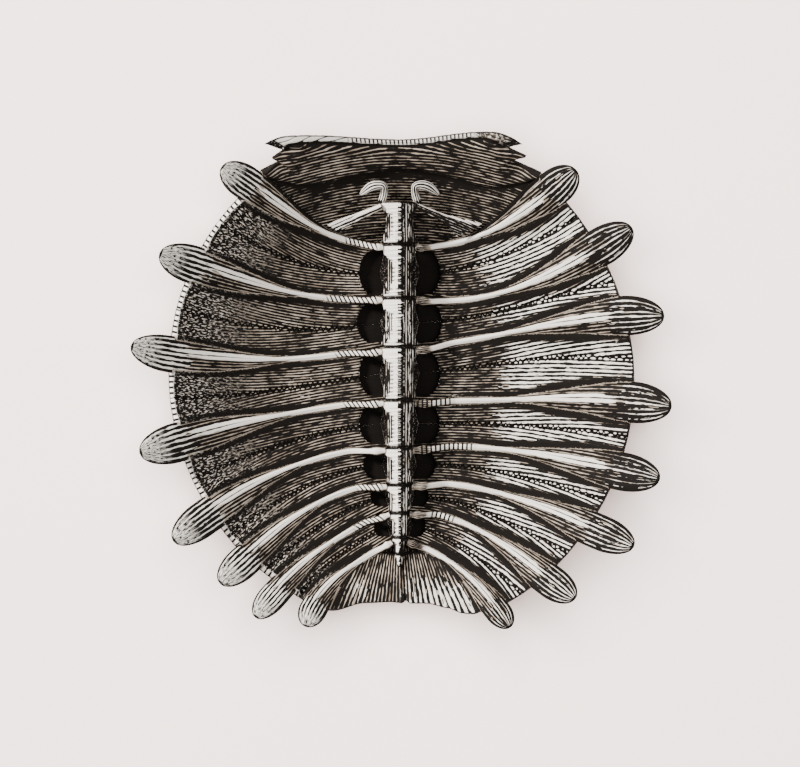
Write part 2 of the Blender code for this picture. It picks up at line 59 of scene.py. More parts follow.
# The backbone, front to rear.
SEAMS = (0.1078, 0.0820, 0.0496, 0.0199, -0.0125, -0.0413, -0.0640, -0.0810, -0.0956, -0.1056, -0.1135)
SEAM_HALF = (0.0120, 0.0118, 0.0118, 0.0118, 0.0108, 0.0093, 0.0086, 0.0068, 0.0050, 0.0036, 0.0010)
WAIST_HALF = (0.0080, 0.0069, 0.0082, 0.0088, 0.0076, 0.0074, 0.0064, 0.0048, 0.0036, 0.0024)
WAIST_POWER = 1.6
CENTRUM_LIFT = 0.0140
CENTRUM_BELLY = 0.0040
TAIL_LIFT = 0.0085
TAIL_BELLY = 0.0018
ROOF = 1.8
ROOF_POWER = 1.35
ARCH_HALF = 0.0024
RIB_ROOTS = (0.0820, 0.0496, 0.0199, -0.0125, -0.0413, -0.0632, -0.0800, -0.0988)
HEAD_BEHIND = (0.0012, 0.0008, 0.0024, 0.0018, 0.0018, 0.0020, 0.0022, 0.0005)
HEAD_DROP = 0.0010
NEURAL_HALF = (0.0083, 0.0083, 0.0083, 0.0083, 0.0080, 0.0074, 0.0062, 0.0048)
NEURAL_SWELL = 0.12
NEURAL_FRONT = 0.0851
NEURAL_FRONT_HALF = 0.0072
NEURAL_PLATE = 0.0026
LAST_NEURAL = 8

# Hollows between the rib heads, darkened with painted shade: how far each reaches from the midline, front to rear.
HOLLOW_REACH = (0.0255, 0.0265, 0.0250, 0.0250, 0.0225, 0.0180, 0.0160)
HOLLOW_INNER = 0.0078
HOLLOW_CLEAR = 0.0016
HOLLOW_FLOOR = 0.0016

# Ribs: tip x outwards and y, heading at the column and at the tip in degrees, half width of
# the free end, and the radius at which the rib passes the margin of its plate.
RIBS = {
    "left": (
        (0.1069, 0.1277, -1, 34, 0.0106, 0.1484),
        (0.1445, 0.0757, -5, 19, 0.0117, 0.1443),
        (0.16175, 0.0200, -10, 14, 0.0111, 0.1412),
        (0.1565, -0.0440, -5, -16, 0.0120, 0.1400),
        (0.1360, -0.0968, -2, -39, 0.0108, 0.1408),
        (0.1084, -0.1220, -3, -42, 0.0100, 0.1430),
        (0.0870, -0.1422, -24, -52, 0.0085, 0.1440),
        (0.0571, -0.1479, -30, -72, 0.0084, 0.1470),
    ),
    "right": (
        (0.1043, 0.1258, -6, 42, 0.0114, 0.1478),
        (0.1379, 0.0910, -9, 33, 0.0117, 0.1432),
        (0.1574, 0.0382, 4, -4, 0.0121, 0.1412),
        (0.1618, -0.0164, -2, -9, 0.0125, 0.1412),
        (0.1546, -0.0596, 4, -11, 0.0117, 0.1423),
        (0.1388, -0.0998, 3, -22, 0.0108, 0.1440),
        (0.1037, -0.1313, -2, -35, 0.0102, 0.1475),
        (0.0650, -0.1483, -16, -54, 0.0080, 0.1500),
    ),
}
RIB_HANDLE = 0.35
RIB_NECK_HALF = 0.0021
RIB_NECK_HEIGHT = 0.0021
RIB_END_HEIGHT = 0.0036
RIB_LANDING = (0.04, 0.17)
RIB_SINK = 0.0006
RIB_SPREAD = (0.34, 0.84)
RIB_ROUND_FROM = 0.86
RIB_RINGS = 110
RIB_SIDES = 44
RIB_FURROW = 0.10
HEAD_KNOB = 0.0010
KNOB_AT = 0.042
# Each rib's crest carries a painted highlight band, offset to one side; its club gets painted light, stronger on
# the left, and painted shade, stronger on the right.
BAND_OFFSET = {"left": 0.24, "right": 0.04}
BAND_NECK = 0.60
BAND_HALF = {"left": 0.24, "right": 0.27}
CLUB_PALE = {"left": 0.62, "right": 0.46}
CLUB_STAIN_AND_SHADE = {"left": 0.20, "right": 0.40}
HEAD_TICK_MM = 2.8
HEAD_TICK_SLANT = {"left": -1.5, "right": 0.0}
HEAD_TICKS = {
    ("left", 1): (5, 26), ("left", 2): (5, 37), ("left", 3): (4, 31), ("left", 4): (4, 26),
    ("left", 6): (3, 19), ("left", 7): (4, 24), ("right", 4): (1, 24), ("right", 5): (4, 38),
    ("right", 7): (13, 29),
}
RIM_TICK_MM = 3.4
# Darkness of the painted shade line along the outer edges.
RIM_LINE = 0.88
FRONT_TICK_MM = 2.5
FILLET = 0.0015
FILLET_REACH = 0.0050

# Rib plates: grid, toothed seams and pitted outside.
COLUMNS = 210
ROWS_A_SIDE = 22
CROWDING = 1.08
FRONT_LIP = 0.0010
SEAM_BIAS = {
    "left": (-0.03, -0.03, -0.03, -0.03, -0.03, -0.03, -0.03),
    "right": (0.08, 0.07, 0.06, -0.01, -0.05, -0.07, -0.08),
}
TOOTH = 0.0016
TOOTH_PITCH_MM = 4.1
SEAM_GROOVE = 0.0009
EDGE_ROUND = 0.0012
PIT_DEPTH = 0.0008
PIT_PITCH_MM = 3.6
FURROW_DEPTH = 0.00022

# The rear plates meet near the midline in a small notch; their margin bends between.
REAR_START = -0.0995
REAR_END = (0.0029, -0.1357)
NOTCH_DEPTH = 0.0020
NOTCH_HALF = 0.0022
FAN_CENTRE = -0.0600
FAN_RADIUS_MM = 60.0
FAN_ARCS = (0.12, 0.24)
FAN_BEND = {
    "left": ((0.0, 0.0), (0.2, -0.0029), (0.54, 0.0009), (0.82, 0.0010), (1.0, 0.0)),
    "right": (
        (0.0, 0.0), (0.16, -0.0021), (0.25, -0.0040), (0.37, -0.0039),
        (0.55, -0.0013), (0.76, 0.0006), (1.0, 0.0),
    ),
}

# How far the inner edge of a margin stands out over the outer one: 1 makes the rim upright.
UPRIGHT_RIM = {"left": 0.0, "right": 0.6}
UPRIGHT_REAR = 0.6
UPRIGHT_FROM = 0.8

# The nuchal plate: corner prongs, front margin, thick forepart and thin toothed sides.
NUCHAL_TIP = {"left": (0.0816, 0.1417), "right": (0.0743, 0.1417)}
NUCHAL_FRONT = 0.1454
NUCHAL_LOBE = {"left": 0.0020, "right": 0.0041}
LOBE_PERIOD = 0.100
TIP_BEND = {"left": 0.066, "right": 0.055}
UPRIGHT_FORE = 0.75
NUCHAL_COLUMNS = 210
NUCHAL_ROWS = 96
LIP_RISE = 0.0006
LIP_GROOVE = 0.0005
NUCHAL_THINNER = 0.0008
FORE_THICKEN = 0.0022
FORE_STEP_AT = 0.72
FORE_STEP_SPAN = 0.95
SIDE_THIN = 0.65
SIDE_THIN_FROM = 0.8
SIDE_BAYS = {
    "left": ((0.0, 0.0), (0.34, 0.0100), (0.47, 0.0057), (0.83, 0.0128), (1.0, 0.0)),
    "right": ((0.0, 0.0), (0.47, 0.0122), (0.58, 0.0023), (0.915, 0.0106), (1.0, 0.0)),
}
BAY_POWER = 3

# Hooks of the first vertebra and the slim first ribs.
HOOK = ((0.0112, 0.1065), (0.0094, 0.1128), (0.0102, 0.1172), (0.0170, 0.1168), (0.0240, 0.1118))
HOOK_LIFT = (0.0120, 0.0120, 0.0125, 0.0120, 0.0105)
HOOK_HALF = (0.0025, 0.0023, 0.0024, 0.0030, 0.0012)
FIRST_RIB_ROOT = (0.0110, 0.1048)
FIRST_RIB_END = {"left": (0.0402, 0.0920), "right": (0.0430, 0.0910)}
FIRST_RIB_END_HALF = {"left": 0.0050, "right": 0.0094}
FIRST_RIB_END_TURN = {"left": 30, "right": 28}
FIRST_RIB_SPREAD = {"left": 1.8, "right": 2.6}

# The ridge of the backbone is unevenly jagged. The painted highlight left of it, on the lit side, is full at a
# vertebra's front and narrow at its waist.
JAG = 0.10
JAG_MM = 2.5
BRIGHT_STRIP = ((0.0, 0.98), (0.18, 0.94), (0.34, 0.54), (0.84, 0.54), (1.0, 0.88))

# The engraving's frame: 0.6 mm a pixel at the height of the rib ends.
PIXEL = 0.0006
FRAME_WIDTH_PX = 800
FRAME_CENTRE = (-0.00072, -0.00234)
CAMERA_HEIGHT = 2.8
SHARP_LEVEL = 0.05


def smooth_step(value, low, high):
    """0 below low, 1 above high and a smooth rise between."""
    share = min(1.0, max(0.0, (value - low) / (high - low)))
    return share * share * (3 - 2 * share)


def between(knots, share, ease=False):
    """Reads a value off lines between knots of (share, value), smoothed into each other or not."""
    for (start, low), (end, high) in zip(knots, knots[1:]):
        if share <= end:
            part = smooth_step(share, start, end) if ease else (share - start) / (end - start)
            return low + (high - low) * part
    return knots[-1][1]


def bump(value, width):
    """1 at 0, falling smoothly to nothing beyond the width."""
    return math.exp(-((value / width) ** 2))


def bowl_slope(radius):
    """Rise of the outer surface per metre of radius."""
    span = RIM_RADIUS - FLAT_RADIUS
    share = max(0.0, min(radius, RIM_RADIUS) - FLAT_RADIUS) / span
    return RISE_POWER * RIM_RISE / span * share ** (RISE_POWER - 1)


RIM_SLOPE = bowl_slope(RIM_RADIUS)


def bowl_height(radius):
    """Height of the outer surface of the back at a distance from its middle."""
    reach = min(radius, RIM_RADIUS)
    share = max(0.0, reach - FLAT_RADIUS) / (RIM_RADIUS - FLAT_RADIUS)
    return RIM_RISE * share**RISE_POWER + (radius - reach) * RIM_SLOPE


def bowl_normal(x, y):
    """Direction from the outer surface to the inside of the shell."""
    radius = math.hypot(x, y)
    if radius < FLAT_RADIUS:
        return Vector((0, 0, 1))
    slope = bowl_slope(radius)
    return Vector((-slope * x / radius, -slope * y / radius, 1)).normalized()


def above_skin(x, y, depth):
    """Point at a depth of bone above the outer surface, measured square to it."""
    return Vector((x, y, bowl_height(math.hypot(x, y)))) + bowl_normal(x, y) * depth


def inside_height(x, y, depth=PLATE):
    """Height of the plates' inner surface over a place in plan."""
    return bowl_height(math.hypot(x, y)) + depth / bowl_normal(x, y).z


def rib_knots(side, number):
    """The four Bezier knots of a rib's centreline in plan."""
    tip_x, tip_y, leave, arrive = RIBS[side][number - 1][:4]
    sign = SIGN[side]
    root = Vector((NEURAL_HALF[number - 1], RIB_ROOTS[number - 1]))
    tip = Vector((tip_x, tip_y)) - Vector((sign * MIDLINE, 0))
    reach = RIB_HANDLE * (tip - root).length
    leaving = Vector((math.cos(math.radians(leave)), math.sin(math.radians(leave))))
    arriving = Vector((math.cos(math.radians(arrive)), math.sin(math.radians(arrive))))
    knots = (root, root + reach * leaving, tip - reach * arriving, tip)
    return tuple(Vector((MIDLINE + sign * knot.x, knot.y)) for knot in knots)


KNOTS = {(side, n): rib_knots(side, n) for side in SIGN for n in range(1, 9)}


def rib_plan(side, number, share):
    """Plan position of a rib's centreline, from the neural plate (0) to its tip (1)."""
    first, second, third, last = KNOTS[side, number]
    rest = 1 - share
    near = first * rest**3 + second * (3 * rest * rest * share)
    return near + third * (3 * rest * share * share) + last * share**3


def margin_share(side, number):
    """How far along a rib the margin of its plate lies."""
    radius = RIBS[side][number - 1][5]
    low, high = 0.5, 1.0
    for _ in range(30):
        middle = (low + high) / 2
        if rib_plan(side, number, middle).length < radius:
            low = middle
        else:
            high = middle
    return low


MARGIN_SHARE = {(side, n): margin_share(side, n) for side in SIGN for n in range(1, 9)}
RIB_LENGTH_MM = {key: (knots[3] - knots[0]).length / MM * 1.03 for key, knots in KNOTS.items()}


def rib_half_width(side, number, share):
    """Half width of a rib: slim at its head, spreading to a broad rounded free end."""
    spread = smooth_step(share, *RIB_SPREAD)
    end = RIBS[side][number - 1][4]
    rounding = max(0.0, share - RIB_ROUND_FROM) / (1 - RIB_ROUND_FROM)
    full = RIB_NECK_HALF * (1 + share) * (1 - spread) + end * spread
    return full * math.sqrt(max(0.0, 1 - rounding**2)) + HEAD_KNOB * bump(share - KNOB_AT, 0.018)


def rib_half_height(share):
    """Half thickness of a rib."""
    rounding = max(0.0, share - RIB_ROUND_FROM) / (1 - RIB_ROUND_FROM)
    full = RIB_NECK_HEIGHT + (RIB_END_HEIGHT - RIB_NECK_HEIGHT) * smooth_step(share, 0.2, 0.8)
    return full * math.sqrt(max(0.0, 1 - rounding**2)) + HEAD_KNOB * bump(share - KNOB_AT, 0.018)


def plate_line(side, number, along):
    """Plan of the line under a rib, from the neural plate (0) to the plate's margin (1)."""
    return rib_plan(side, number, along * MARGIN_SHARE[side, number])


def neural_swell(number, along):
    """How far a seam between two plates starts outwards of the rib roots beside it."""
    return NEURAL_SWELL * (RIB_ROOTS[number - 2] - RIB_ROOTS[number - 1]) * max(0.0, 1 - along / 0.1)


def front_edge(side, along, clear=0.0):
    """Front edge of the first rib plate, just ahead of its rib."""
    share = along * MARGIN_SHARE[side, 1]
    ahead = rib_plan(side, 1, min(1.0, share + 0.01)) - rib_plan(side, 1, share)
    forward = Vector((-ahead.y, ahead.x)).normalized() * SIGN[side]
    return rib_plan(side, 1, share) + forward * (rib_half_width(side, 1, share) + FRONT_LIP + clear)


def tooth(side, number, along):
    """Sideways throw of the saw-toothed seam behind rib plate number."""
    place = along * RIB_LENGTH_MM[side, number]
    key = number * 7.3 + SIGN[side] * 31.7
    phase = place / TOOTH_PITCH_MM + 0.55 * noise.noise(Vector((place / 7, key, 0)))
    wave = 2 * abs(2 * (phase % 1) - 1) - 1
    size = 0.85 + 0.5 * noise.noise(Vector((place / 5, key, 9)))
    fade = smooth_step(along, 0.03, 0.18) * (1 - 0.6 * smooth_step(along, 0.95, 1.0))
    return TOOTH * wave * size * fade


def seam_edge(side, number, other, along):
    """Edge of a plate on its seam with the neighbour other."""
    own = plate_line(side, number, along)
    beyond = plate_line(side, other, along)
    forward = (own - beyond).normalized() if other > number else (beyond - own).normalized()
    retreat = SEAM_GAP / 2 * (1 if other > number else -1)
    first = min(number, other)
    rear_share = 0.5 - SEAM_BIAS[side][first - 1] * math.sin(math.pi * along)
    edge = own.lerp(beyond, 1 - rear_share if other < number else rear_share)
    edge += forward * (tooth(side, first, along) + retreat)
    edge.x += SIGN[side] * neural_swell(max(number, other), along)
    return edge


def plate_edges(side, number, along):
    """Rib line, front edge and rear edge of a rib plate in plan, with the radii they should keep."""
    own = plate_line(side, number, along)
    if number == 1:
        front = (front_edge(side, along), None)
    else:
        radius = (own.length + plate_line(side, number - 1, along).length) / 2
        front = (seam_edge(side, number, number - 1, along), radius)
    if number == 8:
        middle = Vector((MIDLINE, REAR_START)).lerp(Vector(REAR_END), along)
        rear = (middle + Vector((SIGN[side] * SEAM_GAP / 2, 0)), None)
    else:
        radius = (own.length + plate_line(side, number + 1, along).length) / 2
        rear = (seam_edge(side, number, number + 1, along), radius)
    return own, front, rear


def plate_place(side, own, edge, radius, across, along, is_fan):
    """Plan position between a rib line and one edge of its plate."""
    place = own.lerp(edge, across)
    if radius is not None:
        wanted = own.length + (radius - own.length) * across
        return place * (1 + along**4 * (wanted / place.length - 1))
    if is_fan:
        place.y += between(FAN_BEND[side], across, True) * along
        place.y += NOTCH_DEPTH * max(0.0, 1 - abs(place.x - REAR_END[0]) / NOTCH_HALF) * along**12
    return place


def hollow(x, y):
    """0 on the plain plate and 1 on the floor of the dark hollows between the rib heads."""
    deepest = 0.0
    offset = abs(x - MIDLINE)
    if offset > 0.032:
        return 0.0
    for front, rear, reach in zip(RIB_ROOTS, RIB_ROOTS[1:], HOLLOW_REACH):
        half_length = (front - rear) / 2 - HOLLOW_CLEAR
        half_reach = (reach - HOLLOW_INNER) / 2
        out = (offset - HOLLOW_INNER - half_reach) / half_reach
        away = math.hypot(max(out, 0.0), (y - (front + rear) / 2) / half_length)
        deepest = max(deepest, 1 - smooth_step(away, 0.86, 1.0))
    return deepest


def pitting(point):
    """Depth of the pits and winding furrows that cover the outside of the back, 0 to 1."""
    spot = Vector((point.x, point.y, point.z)) / MM / PIT_PITCH_MM
    spot += Vector((noise.noise(spot * 0.7), noise.noise(spot * 0.7 + Vector((5, 3, 1))), 0)) * 0.5
    distances, _ = noise.voronoi(spot)
    ridge = distances[1] - distances[0]
    return smooth_step(ridge, 0.06, 0.34)


def furrows(u_mm, v_mm, key):
    """Fine relief that runs along the bone, about -1 to 1."""
    broad = noise.noise(Vector((u_mm / 26, v_mm / 1.9, key)))
    fine = noise.noise(Vector((u_mm / 15, v_mm / 0.9, key + 40)))
    return 0.6 * broad + 0.5 * fine


def edge_inset(distance, radius=EDGE_ROUND):
    """How far a rounded edge falls away at a distance from it."""
    if distance >= radius:
        return 0.0
    return radius - math.sqrt(max(0.0, radius * radius - (radius - distance) ** 2))


# The pale mark carries painted highlights; the stain mark carries painted shade together with dark seams and
# joints.
MARKS = ("pale", "lined", "stain", "porous", "rim", "ticks")
SLIVER = 0.00001


def open_mesh():
    """A new bmesh with the layers that the bone materials read."""
    bm = bmesh.new()
    layers = {name: bm.verts.layers.float.new(name) for name in MARKS + ("phase",)}
    layers["grain"] = bm.verts.layers.float_vector.new("grain")
    return bm, layers


def mark(vert, layers, grain, phase=0.0, **values):
    """Writes a vertex's grain coordinates, the phase of its cross ticks and its marks."""
    vert[layers["grain"]] = grain
    vert[layers["phase"]] = phase
    for name in MARKS:
        vert[layers[name]] = min(1.0, max(0.0, values.get(name, 0.0)))


def new_piece(name, bm):
    """Puts a bmesh into the scene as a closed mesh with its faces pointing out."""
    bmesh.ops.recalc_face_normals(bm, faces=bm.faces)
    if bm.calc_volume(signed=True) < 0:
        bmesh.ops.reverse_faces(bm, faces=bm.faces)
    mesh = bpy.data.meshes.new(name)
    bm.to_mesh(mesh)
    bm.free()
    piece = bpy.data.objects.new(name, mesh)
    bpy.context.scene.collection.objects.link(piece)
    return piece


def slab(name, columns, rows, place):
    """A curved plate from a grid: place(column, row, face) gives a point, its grain and its marks."""
    bm, layers = open_mesh()
    bmesh.ops.create_grid(bm, x_segments=columns, y_segments=rows, size=0.5)
    bmesh.ops.extrude_face_region(bm, geom=bm.faces[:], use_keep_orig=True)
    seen = set()
    for vert in bm.verts:
        column = round((vert.co.x + 0.5) * columns)
        row = round((vert.co.y + 0.5) * rows)
        face = 1 if (column, row) in seen else 0
        seen.add((column, row))
        vert.co, grain, values = place(column, row, face)
        mark(vert, layers, grain, **values)
    return new_piece(name, bm)


def loft(name, rings, sides, place):
    """A closed rod: place(ring, angle) gives a point, its grain and its marks."""
    bm, layers = open_mesh()
    bmesh.ops.create_cone(bm, cap_ends=True, segments=sides, radius1=1, radius2=1, depth=rings)
    lengthwise = [edge for edge in bm.edges if abs(edge.verts[0].co.z - edge.verts[1].co.z) > 0.5]
    bmesh.ops.subdivide_edges(bm, edges=lengthwise, cuts=rings - 1)
    for vert in bm.verts:
        ring = round(vert.co.z + rings / 2)
        vert.co, grain, values = place(ring, math.atan2(vert.co.y, vert.co.x))
        mark(vert, layers, grain, **values)
    return new_piece(name, bm)


def keep_largest(mesh):
    """Leaves only the largest closed surface of a mesh."""
    bm = bmesh.new()
    bm.from_mesh(mesh)
    groups = []
    waiting = set(bm.verts)
    while waiting:
        front = [waiting.pop()]
        group = list(front)
        while front:
            for edge in front.pop().link_edges:
                for vert in edge.verts:
                    if vert in waiting:
                        waiting.discard(vert)
                        group.append(vert)
                        front.append(vert)
        groups.append(group)
    groups.sort(key=len)
    for group in groups[:-1]:
        bmesh.ops.delete(bm, geom=group, context="VERTS")
    bm.to_mesh(mesh)
    bm.free()


def drop_slivers(mesh):
    """Takes out edges that are too short to show."""
    bm = bmesh.new()
    bm.from_mesh(mesh)
    bmesh.ops.dissolve_degenerate(bm, dist=SLIVER, edges=bm.edges)
    bm.to_mesh(mesh)
    bm.free()


def combine(piece, others, operation):
    """Joins or cuts a piece with other closed pieces and removes them."""
    helpers = bpy.data.collections.new("helpers")
    bpy.context.scene.collection.children.link(helpers)
    for other in others:
        bpy.context.scene.collection.objects.unlink(other)
        helpers.objects.link(other)
    boolean = piece.modifiers.new("boolean", "BOOLEAN")
    boolean.operation = operation
    boolean.operand_type = "COLLECTION"
    boolean.collection = helpers
    boolean.solver = "MANIFOLD"
    evaluated = piece.evaluated_get(bpy.context.evaluated_depsgraph_get())
    joined = bpy.data.meshes.new_from_object(evaluated)
    piece.modifiers.clear()
    piece.data = joined
    for other in others:
        bpy.data.objects.remove(other)
    bpy.data.collections.remove(helpers)
    keep_largest(piece.data)


def finish_piece(piece, node, material):
    """Shades a finished bone, gives it its material and sets it in place of its solid."""
    drop_slivers(piece.data)
    piece.data.shade_smooth()
    piece.data.set_sharp_from_angle(angle=math.radians(50))
    piece.data.materials.clear()
    piece.data.materials.append(material)
    bpy.context.scene.collection.objects.unlink(piece)
    bpy.data.collections["shell"].objects.link(piece)
    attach(piece, "root")
    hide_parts(node)


def rib_point(side, number, share, angle, widen=0.0):
    """A point on a rib's surface: bridged to the column at its head, then bedded in its plate."""
    ahead = rib_plan(side, number, min(1.0, share + 0.01))
    behind = rib_plan(side, number, max(0.0, share - 0.01))
    x, y = rib_plan(side, number, share)
    bridge = 1 - smooth_step(share, *RIB_LANDING)
    y -= HEAD_BEHIND[number - 1] * bridge
    head_lift = column_lift(RIB_ROOTS[number - 1]) - PLATE - HEAD_DROP
    lift = (head_lift + RIB_SINK) * bridge - RIB_SINK
    slope = (ahead - behind).to_3d()
    slope.z = inside_height(*ahead) - inside_height(*behind)
    out = slope.cross(bowl_normal(x, y)).normalized()
    up = out.cross(slope).normalized()
    half_width = rib_half_width(side, number, share)
    half_height = rib_half_height(share)
    aside, high = math.cos(angle), math.sin(angle)
    u_mm = share * RIB_LENGTH_MM[side, number]
    v_mm = aside * (5.0 + 4.5 * smooth_step(share, *RIB_SPREAD))
    relief = furrows(u_mm, v_mm, number * 3.1 + SIGN[side] * 17)
    blunt = RIB_FURROW * half_height * relief * smooth_step(share, 0.05, 0.5) * (1 - smooth_step(share, 0.97, 1))
    band = bump(aside - BAND_OFFSET[side] * -SIGN[side], 0.3)
    crest = 0.0007 * band * smooth_step(share, 0.1, 0.3) * (1 - smooth_step(share, 0.55, 0.9))
    top = max(0.0, high)
    rise = high * (half_height + widen) + top * (crest + blunt)
    centre = Vector((x, y, inside_height(x, y) + lift))
    return centre + out * (aside * (half_width + widen)) + up * rise, u_mm, v_mm


def rib_marks(side, number, share, angle):
    """Painted highlight along the crest, painted shade on the flanks, ticked neck and porous tip of a rib."""
    aside, high = math.cos(angle), math.sin(angle)
    upper = smooth_step(high, -0.2, 0.1)
    spread = smooth_step(share, 0.20, 0.55)
    u_mm = share * RIB_LENGTH_MM[side, number]
    off = abs(aside + SIGN[side] * BAND_OFFSET[side] * spread)
    fade = smooth_step(share, 0.72, 0.86)
    half = (BAND_NECK + (BAND_HALF[side] - BAND_NECK) * spread) * (1 - 0.6 * fade)
    # Painted highlight along the upper side of the crest, and painted light on the club.
    band = (1 - smooth_step(off, half - 0.05, half + 0.05)) * upper
    pale = max(band * (1 - 0.7 * fade), CLUB_PALE[side] * fade)
    # Painted shadow of the column over the heads of the right ribs.
    if side == "right":
        pale *= 0.25 + 0.75 * smooth_step(u_mm, 9, 14)
    # Painted shade on the lower flanks where the rib meets its plate and over the club; the very tip is darkened.
    stain = smooth_step(abs(aside), 0.88 - 0.04 * fade, 0.98 - 0.06 * fade) * smooth_step(high, -0.5, -0.2)
    stain = max(stain, CLUB_STAIN_AND_SHADE[side] * (1 - band) * fade, smooth_step(share, 0.989, 0.996))
    fine = 0.45 * smooth_step(share, 0.50, 0.72)
    lined = max(1 - band, fade, fine, 1 - smooth_step(u_mm, 8, 13) if side == "right" else 0.0)
    start, stop = HEAD_TICKS.get((side, number), (0, 0))
    ticks = smooth_step(u_mm, start - 1, start + 1) * (1 - smooth_step(u_mm, stop - 2, stop + 2)) * upper
    phase = (u_mm + aside * HEAD_TICK_SLANT[side]) / HEAD_TICK_MM
    porous = 0.85 * smooth_step(share, 0.89, 0.97) * (side == "left")
    return {"pale": pale, "lined": lined, "stain": stain, "porous": porous, "ticks": ticks, "phase": phase}


def rib(name, side, number, widen=0.0):
    """A whole rib as one closed rod, from inside the column to its rounded tip."""

    def place(ring, angle):
        share = 1 - (1 - ring / RIB_RINGS) ** 1.15
        share = min(share, 0.9999)
        point, u_mm, v_mm = rib_point(side, number, share, angle, widen)
        return point, (u_mm, v_mm, number), rib_marks(side, number, share, angle)

    return loft(name, RIB_RINGS, RIB_SIDES, place)


def column_half_width(y):
    """Half width of the vertebral column: wide where vertebrae meet, narrow at their waists."""
    for n, waist in enumerate(WAIST_HALF):
        front, rear = SEAMS[n], SEAMS[n + 1]
        if y >= rear or n == len(WAIST_HALF) - 1:
            share = min(1.0, max(0.0, (front - y) / (front - rear)))
            edge = SEAM_HALF[n] if share < 0.5 else SEAM_HALF[n + 1]
            return waist + (edge - waist) * abs(2 * share - 1) ** WAIST_POWER


def tail_share(y):
    """0 along most of the column, rising to 1 at its rear tip."""
    return smooth_step(-y, -SEAMS[6], -SEAMS[10])


def column_lift(y):
    """Height of the column's middle over the outer surface."""
    return CENTRUM_LIFT + (TAIL_LIFT - CENTRUM_LIFT) * tail_share(y)


def column_point(y, angle, widen=0.0, shrink=1.0, jag=0.0):
    """A point on the vertebral bodies: rounded below, with a roof that rises to a ridge."""
    aside, high = math.cos(angle), math.sin(angle)
    belly = CENTRUM_BELLY + (TAIL_BELLY - CENTRUM_BELLY) * tail_share(y)
    rise = ROOF * (1 - abs(aside) ** ROOF_POWER) if high > 0 else high
    shift = jag * (1 - abs(aside)) * max(0.0, high)
    x = MIDLINE + (aside + shift) * (column_half_width(y) * shrink + widen)
    z = bowl_height(abs(y)) + column_lift(y) + rise * (belly * shrink + widen)
    return Vector((x, y, z))


def column_cutter(number):
    """The column around the seam where a rib meets it, enlarged by the gap."""
    front, rear = SEAMS[number - 1], SEAMS[number + 1]

    def place(ring, angle):
        y = front + (rear - front) * ring / 40
        return column_point(y, angle, GAP), (0, 0, 0), {}

    return loft("cutter", 40, 32, place)


def along_steps():
    """Columns of a rib plate: closer near the column and at the rounded margin."""
    steps = [(i / COLUMNS) ** CROWDING for i in range(COLUMNS)]
    return steps + [0.9965, 0.9985, 1.0]


def across_steps():
    """Rows of a rib plate from its rib line to an edge: closer at the grooved seam."""
    return [i / ROWS_A_SIDE * 0.955 for i in range(ROWS_A_SIDE + 1)] + [0.975, 0.988, 1.0]


ALONG = along_steps()
ACROSS = across_steps()


